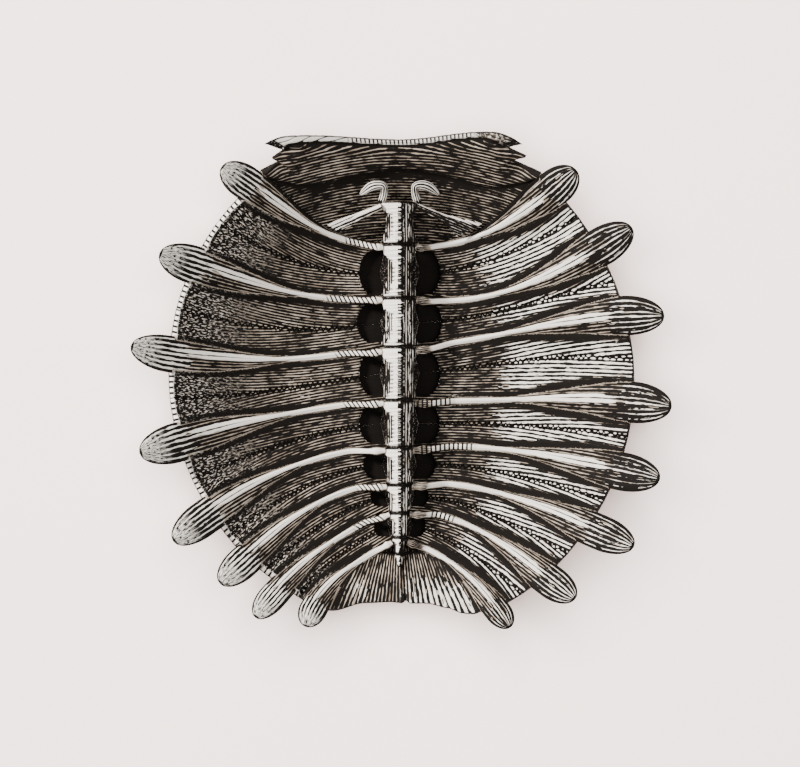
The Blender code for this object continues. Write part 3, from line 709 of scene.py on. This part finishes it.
def costal(side, number):
    """A rib plate and its rib: one bone."""
    columns = len(ALONG) - 1
    half_rows = len(ACROSS) - 1
    edges = [plate_edges(side, number, along) for along in ALONG]
    key = number * 3.1 + SIGN[side] * 17

    def place(column, row, face):
        along = ALONG[column]
        step = row - half_rows
        across = ACROSS[abs(step)]
        own, front, rear = edges[column]
        edge, radius = front if step >= 0 else rear
        x, y = plate_place(side, own, edge, radius, across, along, number == 8)
        width = (edge - own).length
        aside = across * width
        to_seam = width - aside
        in_fan = number == 8 and step <= 0
        share = along * MARGIN_SHARE[side, number]
        u_mm = share * RIB_LENGTH_MM[side, number]
        v_mm = aside / MM * (1 if step >= 0 else -1) * SIGN[side]
        to_margin = (1 - along) * RIB_LENGTH_MM[side, number] * MM
        rounding = edge_inset(to_margin)
        pit = hollow(x, y)
        sealed = 1 if radius is None and number == 1 and step >= 0 else 0
        groove = SEAM_GROOVE * bump(to_seam, 0.0007) * (1 - sealed)
        half = rib_half_width(side, number, share)
        flank = FILLET * bump(max(0.0, aside - half), FILLET_REACH) * smooth_step(share, 0.14, 0.4)
        rim = smooth_step(along, 0.9955, 0.9975)
        if in_fan:
            arm = Vector((x - MIDLINE, FAN_CENTRE - y))
            u_mm = arm.length / MM
            v_mm = math.atan2(arm.x, arm.y) * FAN_RADIUS_MM
        if face:
            depth = PLATE + flank - groove - rounding
            depth += FURROW_DEPTH * furrows(u_mm, v_mm, key) * smooth_step(share, 0.1, 0.25) * (1 - rim)
            depth += (HOLLOW_FLOOR - depth) * pit
        else:
            low = above_skin(x, y, 0.0)
            inner = smooth_step(to_seam, 0.0, 0.0015) * smooth_step(to_margin, 0.0, 0.002)
            depth = rounding + PIT_DEPTH * pitting(low) * (0.35 + 0.65 * inner)
            depth = min(depth, HOLLOW_FLOOR * 0.55)
        seam_mark = bump(to_seam, 0.0009 if not in_fan else 0.0004) * (1 - sealed) * (1 - rim)
        # Painted shade along each side of the rib where it meets the plate.
        shade = bump(aside - half, 0.0024) * smooth_step(share, 0.12, 0.2)
        shade *= 1 - 0.4 * smooth_step(share, 0.7, 0.95)
        # The hollows' floors get painted shade; the seams are dark joints.
        stain = max(smooth_step(pit, 0.4, 0.8), seam_mark, shade) if face else 0.35 * seam_mark
        if number == 1 and step > 0:
            stain = max(stain, 0.9 * smooth_step(across, 0.96, 1.0))
        clear = smooth_step(aside - half, 0.001, 0.004)
        open_from = smooth_step(share, 0.20, 0.46)
        # Painted shade on the right plates near the column, where its shadow falls, and painted light on their open
        # outer part; the left plates get a little painted light near the column.
        if side == "right":
            stain = max(stain, 0.3 * (1 - open_from) * face)
        pale = 0.62 * open_from * clear if side == "right" else 0.12 * (1 - smooth_step(share, 0.3, 0.5))
        # The rear fan: painted light towards its margin, paler on the right, and two arcs of painted shadow.
        if in_fan:
            pale = (0.5 if side == "right" else 0.3) * smooth_step(along, 0.4, 0.8) * clear
            arcs = sum(bump(along - arc, 0.035) for arc in FAN_ARCS)
            stain = max(stain, 0.9 * arcs)
        # Painted highlight on the outer wall of each hollow.
        pale = max(pale, 0.6 * bump(pit - 0.25, 0.2) * smooth_step(abs(x - MIDLINE), 0.017, 0.021))
        porous = smooth_step(along, 0.60, 0.92) * smooth_step(across, 0.1, 0.5)
        porous *= face if side == "left" and not in_fan else 0
        values = {"pale": pale, "lined": face, "porous": porous, "phase": v_mm / RIM_TICK_MM}
        # The left margin is painted as a lit ivory band with painted shade along its foot; the right margin is
        # painted dark as shaded; the outer edge gets a line of painted shade.
        ticked = 1.0 if side == "left" and number < 8 and not (number == 1 and step > 0) else 0.0
        rim_foot = ticked * bump(to_margin - 0.0020, 0.0010) * face
        values["rim"] = rim * ticked
        values["ticks"] = rim * ticked
        edge_line = RIM_LINE * rim * (1 - face)
        values["stain"] = max(stain * (1 - rim), 0.9 * rim_foot, 0.95 * rim * (1 - ticked), edge_line)
        point = above_skin(x, y, depth)
        if face:
            upright = UPRIGHT_REAR if number == 8 else UPRIGHT_RIM[side]
            if number == 1 and step > 0:
                upright *= 1 - across
            inward = bowl_normal(x, y) * (PLATE - rounding)
            inward.z = 0
            point -= inward * (upright * smooth_step(along, UPRIGHT_FROM, 1.0))
        return point, (u_mm, v_mm, number), values

    piece = slab(f"costal_{side}_{number}_bone", columns, 2 * half_rows, place)
    combine(piece, [rib("rod", side, number)], "UNION")
    combine(piece, [column_cutter(number)], "DIFFERENCE")
    return piece


def neural_slab(number):
    """The neural plate under a vertebra: six-sided, pitted outside."""
    front = NEURAL_FRONT if number == 2 else RIB_ROOTS[number - 2] - SEAM_GAP / 2
    rear = RIB_ROOTS[number - 1] + SEAM_GAP / 2
    middle_y = (RIB_ROOTS[number - 2] + RIB_ROOTS[number - 1]) / 2
    front_half = NEURAL_FRONT_HALF if number == 2 else NEURAL_HALF[number - 2]
    rear_half = NEURAL_HALF[number - 1]
    swell = neural_swell(number, 0.0)
    middle_half = (NEURAL_HALF[number - 2] + rear_half) / 2 + swell
    columns, rows = 32, 44

    def place(column, row, face):
        share = row / rows
        y = front + (rear - front) * share
        if y > middle_y:
            half = front_half + (middle_half - front_half) * (front - y) / (front - middle_y)
        else:
            half = rear_half + (middle_half - rear_half) * (y - rear) / (middle_y - rear)
        offset = 2 * column / columns - 1
        x = MIDLINE + offset * (half - SEAM_GAP)
        to_edge = min(abs(y - front), abs(y - rear), (1 - abs(offset)) * half)
        low = above_skin(x, y, 0.0)
        depth = NEURAL_PLATE if face else PIT_DEPTH * pitting(low) * (0.35 + 0.65 * smooth_step(to_edge, 0, 0.0015))
        # Painted shade: the inner face, under the column, is made fully dark; the outer face's edges are dark
        # seams.
        values = {"stain": 1.0 if face else 0.35 * bump(to_edge, 0.0009)}
        return above_skin(x, y, depth), (y / MM, x / MM, number), values

    return slab("neural", columns, rows, place)


def arch(number, foot_depth):
    """The narrow wall that carries a vertebra's body."""
    front, rear = SEAMS[number - 1], SEAMS[number]
    inset = 0.12 * (front - rear)

    def place(ring, angle):
        y = front - inset + (rear - front + 2 * inset) * ring / 12
        foot = inside_height(MIDLINE, y, foot_depth)
        top = bowl_height(abs(y)) + column_lift(y)
        half_width = min(ARCH_HALF, 0.6 * column_half_width(y)) * (1.15 - 0.3 * math.sin(angle) ** 2)
        x = MIDLINE + math.cos(angle) * half_width
        z = (foot + top) / 2 + math.sin(angle) * (top - foot) / 2
        # Painted shade: the wall under the vertebra's body is darkened throughout.
        return Vector((x, y, z)), (y / MM, z / MM, number), {"stain": 0.55}

    return loft("arch", 12, 24, place)


def curve_through(points, share):
    """Point on a smooth curve through a few points, at a share of its length."""
    last = len(points) - 1
    spot = min(share * last, last - 1e-6)
    n = int(spot)
    t = spot - n
    before, start, end, after = (points[min(max(n + k, 0), last)] for k in (-1, 0, 1, 2))
    slope_in = (end - before) / 2
    slope_out = (after - start) / 2
    a = start * (2 * t**3 - 3 * t**2 + 1) + slope_in * (t**3 - 2 * t**2 + t)
    return a + end * (3 * t**2 - 2 * t**3) + slope_out * (t**3 - t**2)


def hook(side):
    """A bent joint process that rises ahead of the first vertebra and turns outwards."""
    sign = SIGN[side]
    centres = []
    for (x, y), lift, half in zip(HOOK, HOOK_LIFT, HOOK_HALF):
        centres.append(Vector((MIDLINE + sign * x, y, bowl_height(y) + lift, half)))
    rings = 36

    def place(ring, angle):
        share = ring / rings
        here = curve_through(centres, share)
        ahead, behind = curve_through(centres, min(1, share + 0.02)), curve_through(centres, max(0, share - 0.02))
        heading = (ahead - behind).to_3d()
        across = heading.cross(Vector((0, 0, 1))).normalized()
        up = across.cross(heading).normalized()
        half = here.w * math.sqrt(max(0.01, 1 - max(0, (share - 0.9) / 0.1) ** 2))
        half *= 1 + 0.05 * noise.noise(Vector((share * 9, angle, sign)))
        point = here.to_3d() + across * (math.cos(angle) * half) + up * (math.sin(angle) * half * 0.75)
        # Painted shade where the hook's root meets the column.
        root = 1 - smooth_step(share, 0.04, 0.14)
        return point, (share * 20, angle * 4, 3), {"pale": 0.5, "lined": 1.0, "stain": root}

    return loft("hook", rings, 24, place)


def vertebra(number):
    """A vertebra's body and arch, with the neural plate under it where it has one."""
    front, rear = SEAMS[number - 1] - GAP / 2, SEAMS[number] + GAP / 2
    rings = 110

    def place(ring, angle):
        share = (1 - math.cos(math.pi * ring / rings)) / 2
        y = front + (rear - front) * share
        to_end = min(share, 1 - share) * (front - rear)
        shrink = 1 - 0.22 * bump(to_end, 0.0011)
        y_mm = y / MM
        uneven = noise.noise(Vector((y_mm / 4, number, 3)))
        jag = JAG * (4 * abs((y_mm / JAG_MM + uneven) % 1 - 0.5) - 1) * (1 + uneven)
        point = column_point(y, angle, 0.0, shrink, jag)
        aside, high = math.cos(angle), math.sin(angle)
        v_mm = (point.x - MIDLINE) / MM
        relief = furrows(y_mm, v_mm * 1.3, number * 5.7)
        point += Vector((aside, 0, high)) * (0.00022 * relief * smooth_step(to_end, 0.0, 0.002))
        # Painted light and shade: the left half and the ridge are painted pale as lit, the right half dark as
        # shaded, with painted shadow beside the ridge and on the right flank and painted shade underneath; the
        # joint ends are dark.
        right = smooth_step(aside, -0.02 + jag, 0.04 + jag)
        bright = between(BRIGHT_STRIP, share, True)
        flank = smooth_step(-aside, bright, bright + 0.08)
        pale = (1 - 0.65 * right - 0.7 * flank) * (0.35 + 0.65 * smooth_step(high, -0.2, 0.5))
        shadow = right * (1 - smooth_step(aside, 0.20, 0.34)) + 0.6 * smooth_step(aside, 0.70, 0.84)
        stain = max(bump(to_end, 0.0016), (0.85 * shadow + 0.1 * flank) * (high > 0))
        stain = max(stain, 0.5 * (1 - smooth_step(high, -0.6, 0.1)))
        combs = smooth_step(aside, -0.22, -0.16) + bump(-aside - bright, 0.10)
        ticks = min(1.0, combs) * (1 - right) * (high > 0)
        ticks *= smooth_step(uneven, -0.3, -0.1) * smooth_step(share, 0.18, 0.26)
        lined = max(right, flank)
        values = {"pale": pale, "lined": lined, "stain": stain, "ticks": ticks, "phase": y_mm / JAG_MM}
        return point, (y_mm, v_mm * 1.3, number), values

    piece = loft(f"vertebra_{number}_bone", rings, 48, place)
    if 2 <= number <= LAST_NEURAL:
        extras = [neural_slab(number), arch(number, NEURAL_PLATE / 2)]
    else:
        extras = [arch(number, PLATE + 2 * GAP)]
    if number == 1:
        extras += [hook(side) for side in SIGN]
    combine(piece, extras, "UNION")
    return piece


def first_rib(side):
    """A slim rib from the first vertebra down to the rib of the first plate."""
    sign = SIGN[side]
    root, end = Vector(FIRST_RIB_ROOT), Vector(FIRST_RIB_END[side])
    turn = math.radians(FIRST_RIB_END_TURN[side])
    edge = Vector((sign * math.cos(turn), math.sin(turn), 0))
    heading = Vector((sign * (end.x - root.x), end.y - root.y, 0)).normalized()
    square = Vector((-heading.y, heading.x, 0)) * sign
    rings = 40

    def place(ring, angle):
        share = ring / rings
        x, y = root.lerp(end, share)
        x = MIDLINE + sign * x
        lift = 0.0065 * (1 - share) ** 0.8 + 0.0030
        centre = Vector((x, y, inside_height(x, y) + lift))
        half = 0.0018 + (FIRST_RIB_END_HALF[side] - 0.0018) * share**FIRST_RIB_SPREAD[side]
        across = square.lerp(edge, share).normalized()
        up = (bowl_normal(x, y) - across * bowl_normal(x, y).dot(across)).normalized()
        aside, high = math.cos(angle), math.sin(angle)
        v_mm = aside * half / MM
        thick = 0.0011 * (1 + 0.25 * bump(aside - 0.7, 0.3)) + 0.00012 * furrows(share * 40, v_mm, 8)
        point = centre + across * (aside * half) + up * (high * thick)
        # Painted highlight on the upper side and along the front edge, stronger on the left; painted shade on the
        # right rib's web and on the underside.
        front_line = bump(aside - 0.72, 0.16 if side == "right" else 0.3)
        pale = high * (front_line + (0.5 if side == "left" else 0.0))
        stain = 0.5 * (1 - front_line) if side == "right" else 0.0
        values = {"pale": pale, "lined": 1 - front_line, "stain": stain if high > 0 else 0.3}
        return point, (share * 40, v_mm, 4), values

    piece = loft(f"first_rib_{side}_bone", rings, 32, place)
    combine(piece, [rib("rod", side, 1, GAP), column_cutter(1)], "DIFFERENCE")
    return piece


def front_margin(side, x):
    """How far forward the nuchal plate reaches at a distance from the midline, its corner left aside."""
    return NUCHAL_FRONT + NUCHAL_LOBE[side] * (1 - math.cos(2 * math.pi * x / LOBE_PERIOD)) / 2


def nuchal_front(side, along):
    """Front margin of the nuchal plate, from the midline (0) to the prong at its corner (1)."""
    tip_x, tip_y = NUCHAL_TIP[side]
    x = tip_x * along
    beyond = max(0.0, x - TIP_BEND[side]) / (tip_x - TIP_BEND[side])
    drop = front_margin(side, tip_x) - tip_y
    return Vector((MIDLINE + SIGN[side] * x, front_margin(side, x) - drop * beyond**2))


def nuchal_rear(side, along):
    """Rear edge of the nuchal plate: across the first neural plate, then along the first rib plate."""
    straight = 0.125
    start = front_edge(side, 0.0, SEAM_GAP)
    if along <= straight:
        return Vector((MIDLINE, start.y)).lerp(start, along / straight)
    return front_edge(side, (along - straight) / (1 - straight), SEAM_GAP)


def nuchal():
    """The broad front plate, with two prongs at each side and a ticked lip along its front."""
    lines = {}
    for column in range(NUCHAL_COLUMNS + 1):
        offset = 2 * column / NUCHAL_COLUMNS - 1
        side = "left" if offset < 0 else "right"
        lines[column] = (offset, side, nuchal_rear(side, abs(offset)), nuchal_front(side, abs(offset)))

    def place(column, row, face):
        offset, side, rear, front = lines[column]
        forward = 1 - (1 - row / NUCHAL_ROWS) ** 1.2
        x, y = rear.lerp(front, forward)
        x -= SIGN[side] * between(SIDE_BAYS[side], forward) * abs(offset) ** BAY_POWER
        to_front = (1 - forward) * (front - rear).length
        to_side = (1 - abs(offset)) * 0.05
        rounding = edge_inset(to_front)
        step = FORE_STEP_AT * (1 - (offset / FORE_STEP_SPAN) ** 2)
        fore = smooth_step(forward, step - 0.02, step + 0.07)
        v_mm = y / MM + (x / MM / 20) ** 2
        u_mm = x / MM
        low = above_skin(x, y, 0.0)
        lip = smooth_step(to_front, 0.0028, 0.0020)
        groove = bump(to_front - 0.0031, 0.0006)
        thin = SIDE_THIN * smooth_step(abs(offset), SIDE_THIN_FROM, 1.0) * smooth_step(forward, 0.0, 0.3)
        if face:
            depth = (PLATE - NUCHAL_THINNER + FORE_THICKEN * fore) * (1 - thin)
            depth += FURROW_DEPTH * furrows(u_mm, v_mm, 77) + LIP_RISE * lip - LIP_GROOVE * groove - rounding
        else:
            pits = PIT_DEPTH * pitting(low) * (0.35 + 0.65 * smooth_step(min(to_front, to_side), 0, 0.002))
            depth = rounding + pits * (1 - thin)
        # Painted highlight on the front lip, except its right end, which gets painted shade and specks.
        centre = smooth_step(offset, -0.42, -0.34) * (1 - smooth_step(offset, 0.56, 0.66))
        ends = lip * (1 - centre)
        painted_shade_end = ends * (side == "right")
        # Painted shade on the rear part and painted shadow behind the thick forepart's step; the lip groove, lip
        # ends, side edges and rounded front edge get painted shade, the outer edge a line of it.
        stain = (0.15 * (1 - fore) + 0.60 * bump(forward - step, 0.08)) * (1 - lip)
        stain = max(stain, 0.9 * groove, ends * smooth_step(abs(offset), 0.90, 0.96), 0.4 * painted_shade_end) * face
        stain = max(stain, 0.9 * smooth_step(abs(offset), 0.985, 0.997), RIM_LINE * (1 - face) * lip)
        stain = max(stain, smooth_step(rounding, 0.00005, 0.0003) * face)
        values = {"pale": lip - 0.7 * painted_shade_end, "lined": (1 - lip * (0.95 - 0.2 * ends)) * face, "stain": stain}
        values["porous"] = 0.8 * painted_shade_end
        values["ticks"] = lip * centre
        values["phase"] = (u_mm + 0.15 * v_mm) / FRONT_TICK_MM
        point = above_skin(x, y, depth)
        if face:
            inward = bowl_normal(x, y) * (depth - rounding)
            inward.z = 0
            point -= inward * (UPRIGHT_FORE * smooth_step(forward, 0.86, 1.0))
        return point, (u_mm, v_mm, 77), values

    return slab("nuchal_bone", NUCHAL_COLUMNS, NUCHAL_ROWS, place)


class Nodes:
    """Short calls that add shader nodes to one material."""

    def __init__(self, name):
        self.material = bpy.data.materials.new(name)
        self.material.use_nodes = True
        self.tree = self.material.node_tree
        self.shader = self.tree.nodes["Principled BSDF"]

    def add(self, kind, settings=None, **inputs):
        """Adds a node, sets its properties and sets or links its inputs."""
        node = self.tree.nodes.new(kind)
        for key, value in (settings or {}).items():
            setattr(node, key, value)
        for key, value in inputs.items():
            self.put(node, key.replace("_", " "), value)
        return node

    def put(self, node, key, value):
        """Sets an input by its name, or links a socket to it."""
        socket = node.inputs[int(key)] if key.isdigit() else node.inputs[key]
        if isinstance(value, bpy.types.NodeSocket):
            self.tree.links.new(value, socket)
        else:
            socket.default_value = value

    def attribute(self, name):
        """A mark or the grain of the piece."""
        return self.add("ShaderNodeAttribute", {"attribute_name": name})

    def streaks(self, vector, scale, detail=3.0, roughness=0.6):
        """Noise stretched along the grain: scale is the length and width of a streak in mm."""
        mapping = self.add("ShaderNodeMapping", Vector=vector, Scale=(1 / scale[0], 1 / scale[1], 1.0))
        noise_node = self.add(
            "ShaderNodeTexNoise", Vector=mapping.outputs[0], Scale=1.0, Detail=detail, Roughness=roughness
        )
        return noise_node.outputs["Fac"]

    def cloud(self, size_mm, detail=3.0, roughness=0.55):
        """Plain noise in the piece's own space."""
        place = self.add("ShaderNodeTexCoord").outputs["Object"]
        noise_node = self.add(
            "ShaderNodeTexNoise", Vector=place, Scale=1 / (size_mm * MM), Detail=detail, Roughness=roughness
        )
        return noise_node.outputs["Fac"]

    def ramp(self, value, *stops):
        """A colour ramp from (place, colour) stops."""
        node = self.add("ShaderNodeValToRGB")
        while len(node.color_ramp.elements) < len(stops):
            node.color_ramp.elements.new(0.5)
        for element, (place, colour) in zip(node.color_ramp.elements, stops):
            element.position = place
            element.color = (*colour, 1.0) if len(colour) == 3 else colour
        self.tree.links.new(value, node.inputs["Fac"])
        return node.outputs["Color"]

    def level(self, value, low, high, out_low=0.0, out_high=1.0):
        """Maps a value from one range to another, held at its ends."""
        node = self.add("ShaderNodeMapRange", {"clamp": True})
        for key, number in (("From Min", low), ("From Max", high), ("To Min", out_low), ("To Max", out_high)):
            node.inputs[key].default_value = number
        self.tree.links.new(value, node.inputs["Value"])
        return node.outputs["Result"]

    def math(self, operation, first, second):
        """One sum of two values."""
        node = self.add("ShaderNodeMath", {"operation": operation})
        self.put(node, "0", first)
        self.put(node, "1", second)
        return node.outputs[0]

    def between(self, share, first, second):
        """Goes from one value to another by a share."""
        node = self.add("ShaderNodeMix", {"data_type": "FLOAT"})
        self.put(node, "0", share)
        self.put(node, "2", first)
        self.put(node, "3", second)
        return node.outputs[0]

    def mix(self, share, first, second, blend="MIX"):
        """Mixes two colours."""
        node = self.add("ShaderNodeMix", {"data_type": "RGBA", "blend_type": blend})
        self.put(node, "0", share)
        self.put(node, "6", first)
        self.put(node, "7", second)
        return node.outputs[2]


IVORY = (0.93, 0.87, 0.80)
SAND = (0.66, 0.56, 0.46)
STRAW = (0.42, 0.34, 0.27)
TAN = (0.20, 0.155, 0.115)
# Near black: the grain's dark lines, holes, ticks and painted shade.
NEAR_BLACK = (0.006, 0.0045, 0.0035)
LINE_PITCH_MM = 1.75
LINE_SHARE = 0.76
OPEN_PITCH_MM = 2.5
OPEN_SHARE = 0.54


def bone(name, light, middle, dark, streak_low, streak_high):
    """Dry old bone, lined along its grain: painted highlights where the pale mark is set, painted shade with real
    dark seams where the stain mark is set.
    """
    nodes = Nodes(name)
    grain = nodes.attribute("grain").outputs["Vector"]
    coarse = nodes.streaks(grain, (60.0, 1.9))
    fine = nodes.streaks(grain, (24.0, 0.75), detail=2.0)
    breaks = nodes.streaks(grain, (7.0, 1.7), detail=2.0)
    sway = nodes.streaks(grain, (60.0, 20.0), detail=1.0)
    mottle = nodes.cloud(24.0)
    dashes = nodes.streaks(grain, (2.2, 0.85), detail=1.0)
    specks = nodes.cloud(0.8, detail=1.0)

    pale_mark = nodes.attribute("pale").outputs["Fac"]
    uneven = nodes.math("MULTIPLY", nodes.math("SUBTRACT", mottle, 0.5), 0.6)
    ragged = nodes.math("MULTIPLY", nodes.math("SUBTRACT", breaks, 0.5), 0.8)
    uneven_edge = nodes.math("ADD", nodes.math("MULTIPLY", ragged, 1.7), nodes.math("MULTIPLY", uneven, 0.5))
    # Painted highlight: the pale mark, roughened by noise, turns the colour towards ivory and opens the lines
    # wider.
    painted_light_ragged = nodes.math("ADD", pale_mark, uneven_edge)
    wide = nodes.level(painted_light_ragged, 0.30, 0.45)
    across = nodes.add("ShaderNodeSeparateXYZ", Vector=grain).outputs["Y"]
    waves = []
    for pitch, bend in ((LINE_PITCH_MM, 1.0), (OPEN_PITCH_MM, 0.7)):
        place = nodes.math("ADD", nodes.math("DIVIDE", across, pitch), nodes.math("MULTIPLY", sway, bend))
        waves.append(nodes.math("PINGPONG", place, 0.5))
    wave = nodes.between(wide, *waves)
    lined = nodes.attribute("lined").outputs["Fac"]
    stain = nodes.attribute("stain").outputs["Fac"]
    # The stain mark, painted shade with real dark seams, widens the dark lines.
    spread = nodes.math("ADD", ragged, nodes.math("MULTIPLY", stain, 0.25))
    spread = nodes.math("SUBTRACT", spread, nodes.math("MULTIPLY", uneven, 0.5))
    width = nodes.math("ADD", spread, nodes.between(wide, LINE_SHARE / 2, OPEN_SHARE / 2))
    width = nodes.math("MULTIPLY", lined, width)
    deep = nodes.level(nodes.math("SUBTRACT", wave, width), 0.04, -0.04)

    streak = nodes.math("ADD", nodes.math("MULTIPLY", coarse, 0.6), nodes.math("MULTIPLY", fine, 0.4))
    tone = nodes.math("ADD", streak, nodes.math("MULTIPLY", uneven, 0.5))
    colour = nodes.ramp(tone, (streak_low, dark), ((streak_low + streak_high) / 2, middle), (streak_high, light))

    colour = nodes.mix(nodes.level(painted_light_ragged, 0.25, 0.50), colour, (*IVORY, 1.0))
    plain = colour
    colour = nodes.mix(deep, colour, (*NEAR_BLACK, 1.0))

    porous = nodes.attribute("porous").outputs["Fac"]
    open_dashes = nodes.math("SUBTRACT", dashes, nodes.math("MULTIPLY", pale_mark, 0.20))
    holes = nodes.level(open_dashes, 0.38, 0.42)
    painted_light_share = nodes.level(pale_mark, 0.0, 0.5, 0.25, 0.75)
    dotted = nodes.mix(holes, nodes.mix(painted_light_share, plain, (*IVORY, 1.0)), (*NEAR_BLACK, 1.0))
    colour = nodes.mix(porous, colour, dotted)
    holes = nodes.math("MULTIPLY", porous, holes)

    # Painted highlight: the lit face of the left margin is made ivory.
    rim = nodes.attribute("rim").outputs["Fac"]
    colour = nodes.mix(rim, colour, (*IVORY, 1.0))
    phase = nodes.attribute("phase").outputs["Fac"]
    tick = nodes.level(nodes.math("PINGPONG", phase, 0.5), 0.23, 0.18)
    tick = nodes.math("MULTIPLY", tick, nodes.attribute("ticks").outputs["Fac"])
    colour = nodes.mix(tick, colour, (*NEAR_BLACK, 1.0))

    # Painted shade, with real dark seams: a strong stain mark turns the colour near black, broken by specks.
    dirt_and_painted_shade = nodes.math("MULTIPLY", nodes.level(stain, 0.5, 0.8), nodes.level(specks, 0.60, 0.68, 1.0, 0.72))
    colour = nodes.mix(dirt_and_painted_shade, colour, (*NEAR_BLACK, 1.0))
    nodes.put(nodes.shader, "Base Color", colour)

    rough = nodes.level(nodes.math("ADD", streak, nodes.math("MULTIPLY", stain, 0.4)), 0.3, 0.9, 0.60, 0.85)
    nodes.put(nodes.shader, "Roughness", rough)
    relief = nodes.math("SUBTRACT", fine, nodes.math("MULTIPLY", holes, 0.8))
    relief = nodes.math("SUBTRACT", relief, nodes.math("MULTIPLY", nodes.math("ADD", deep, tick), 0.8))
    bumped = nodes.add("ShaderNodeBump", Strength=0.6, Distance=0.0004, Height=relief)
    nodes.put(nodes.shader, "Normal", bumped.outputs["Normal"])
    nodes.shader.inputs["Specular IOR Level"].default_value = 0.1
    return nodes.material


def floor():
    """A plain pale table top."""
    bm = bmesh.new()
    bmesh.ops.create_grid(bm, x_segments=1, y_segments=1, size=4.0)
    mesh = bpy.data.meshes.new("table_top")
    bm.to_mesh(mesh)
    bm.free()
    top = bpy.data.objects.new("table_top", mesh)
    bpy.data.collections["table"].objects.link(top)
    nodes = Nodes("pale_paper")
    tone = nodes.level(nodes.cloud(400.0), 0.0, 1.0, 0.0, 1.0)
    colour = nodes.mix(tone, (0.91, 0.775, 0.73, 1.0), (0.94, 0.805, 0.76, 1.0))
    nodes.put(nodes.shader, "Base Color", colour)
    nodes.shader.inputs["Roughness"].default_value = 0.9
    mesh.materials.append(nodes.material)


def area_light(name, place, size, power, colour=(1.0, 1.0, 1.0)):
    """A square soft light that looks at the shell."""
    data = bpy.data.lights.new(name, "AREA")
    data.size = size
    data.energy = power
    data.color = colour
    lamp = bpy.data.objects.new(name, data)
    bpy.context.scene.collection.objects.link(lamp)
    lamp.location = place
    lamp.rotation_euler = (-Vector(place)).to_track_quat("-Z", "Y").to_euler()
    return lamp


def lights_and_camera():
    """Low light from the upper left on the bones, soft light from above, and a long lens straight above."""
    key = area_light("key", (-1.655, 0.77, 0.93), 0.4, 115.0, (1.0, 0.97, 0.93))
    key.light_linking.receiver_collection = bpy.data.collections["shell"]
    overhead = area_light("overhead", (-0.4, 0.4, 2.4), 2.0, 270.0)
    overhead.light_linking.receiver_collection = bpy.data.collections["table"]
    fill = area_light("fill", (1.3, 0.3, 1.6), 1.2, 20.0)
    fill.light_linking.receiver_collection = bpy.data.collections["shell"]
    world = bpy.data.worlds.new("soft_room")
    world.use_nodes = True
    sky = world.node_tree.nodes["Background"]
    sky.inputs["Color"].default_value = (1.0, 0.985, 0.965, 1.0)
    sky.inputs["Strength"].default_value = 0.8
    bpy.context.scene.world = world

    data = bpy.data.cameras.new("camera")
    data.sensor_fit = "HORIZONTAL"
    data.sensor_width = 36.0
    data.lens = data.sensor_width * (CAMERA_HEIGHT - SHARP_LEVEL) / (FRAME_WIDTH_PX * PIXEL)
    camera = bpy.data.objects.new("camera", data)
    bpy.context.scene.collection.objects.link(camera)
    camera.location = (*FRAME_CENTRE, CAMERA_HEIGHT)
    bpy.context.scene.camera = camera


def main():
    for name in ("shell", "table"):
        bpy.context.scene.collection.children.link(bpy.data.collections.new(name))
    plate_bone = bone("plate_bone", SAND, STRAW, TAN, 0.36, 0.66)
    column_bone = bone("column_bone", IVORY, SAND, STRAW, 0.30, 0.60)
    finish_piece(nuchal(), "nuchal", plate_bone)
    for side in SIGN:
        for number in range(1, 9):
            finish_piece(costal(side, number), f"costal_{side}_{number}", plate_bone)
        finish_piece(first_rib(side), f"first_rib_{side}", column_bone)
    for number in range(1, 11):
        finish_piece(vertebra(number), f"vertebra_{number}", column_bone)
    floor()
    lights_and_camera()


main()
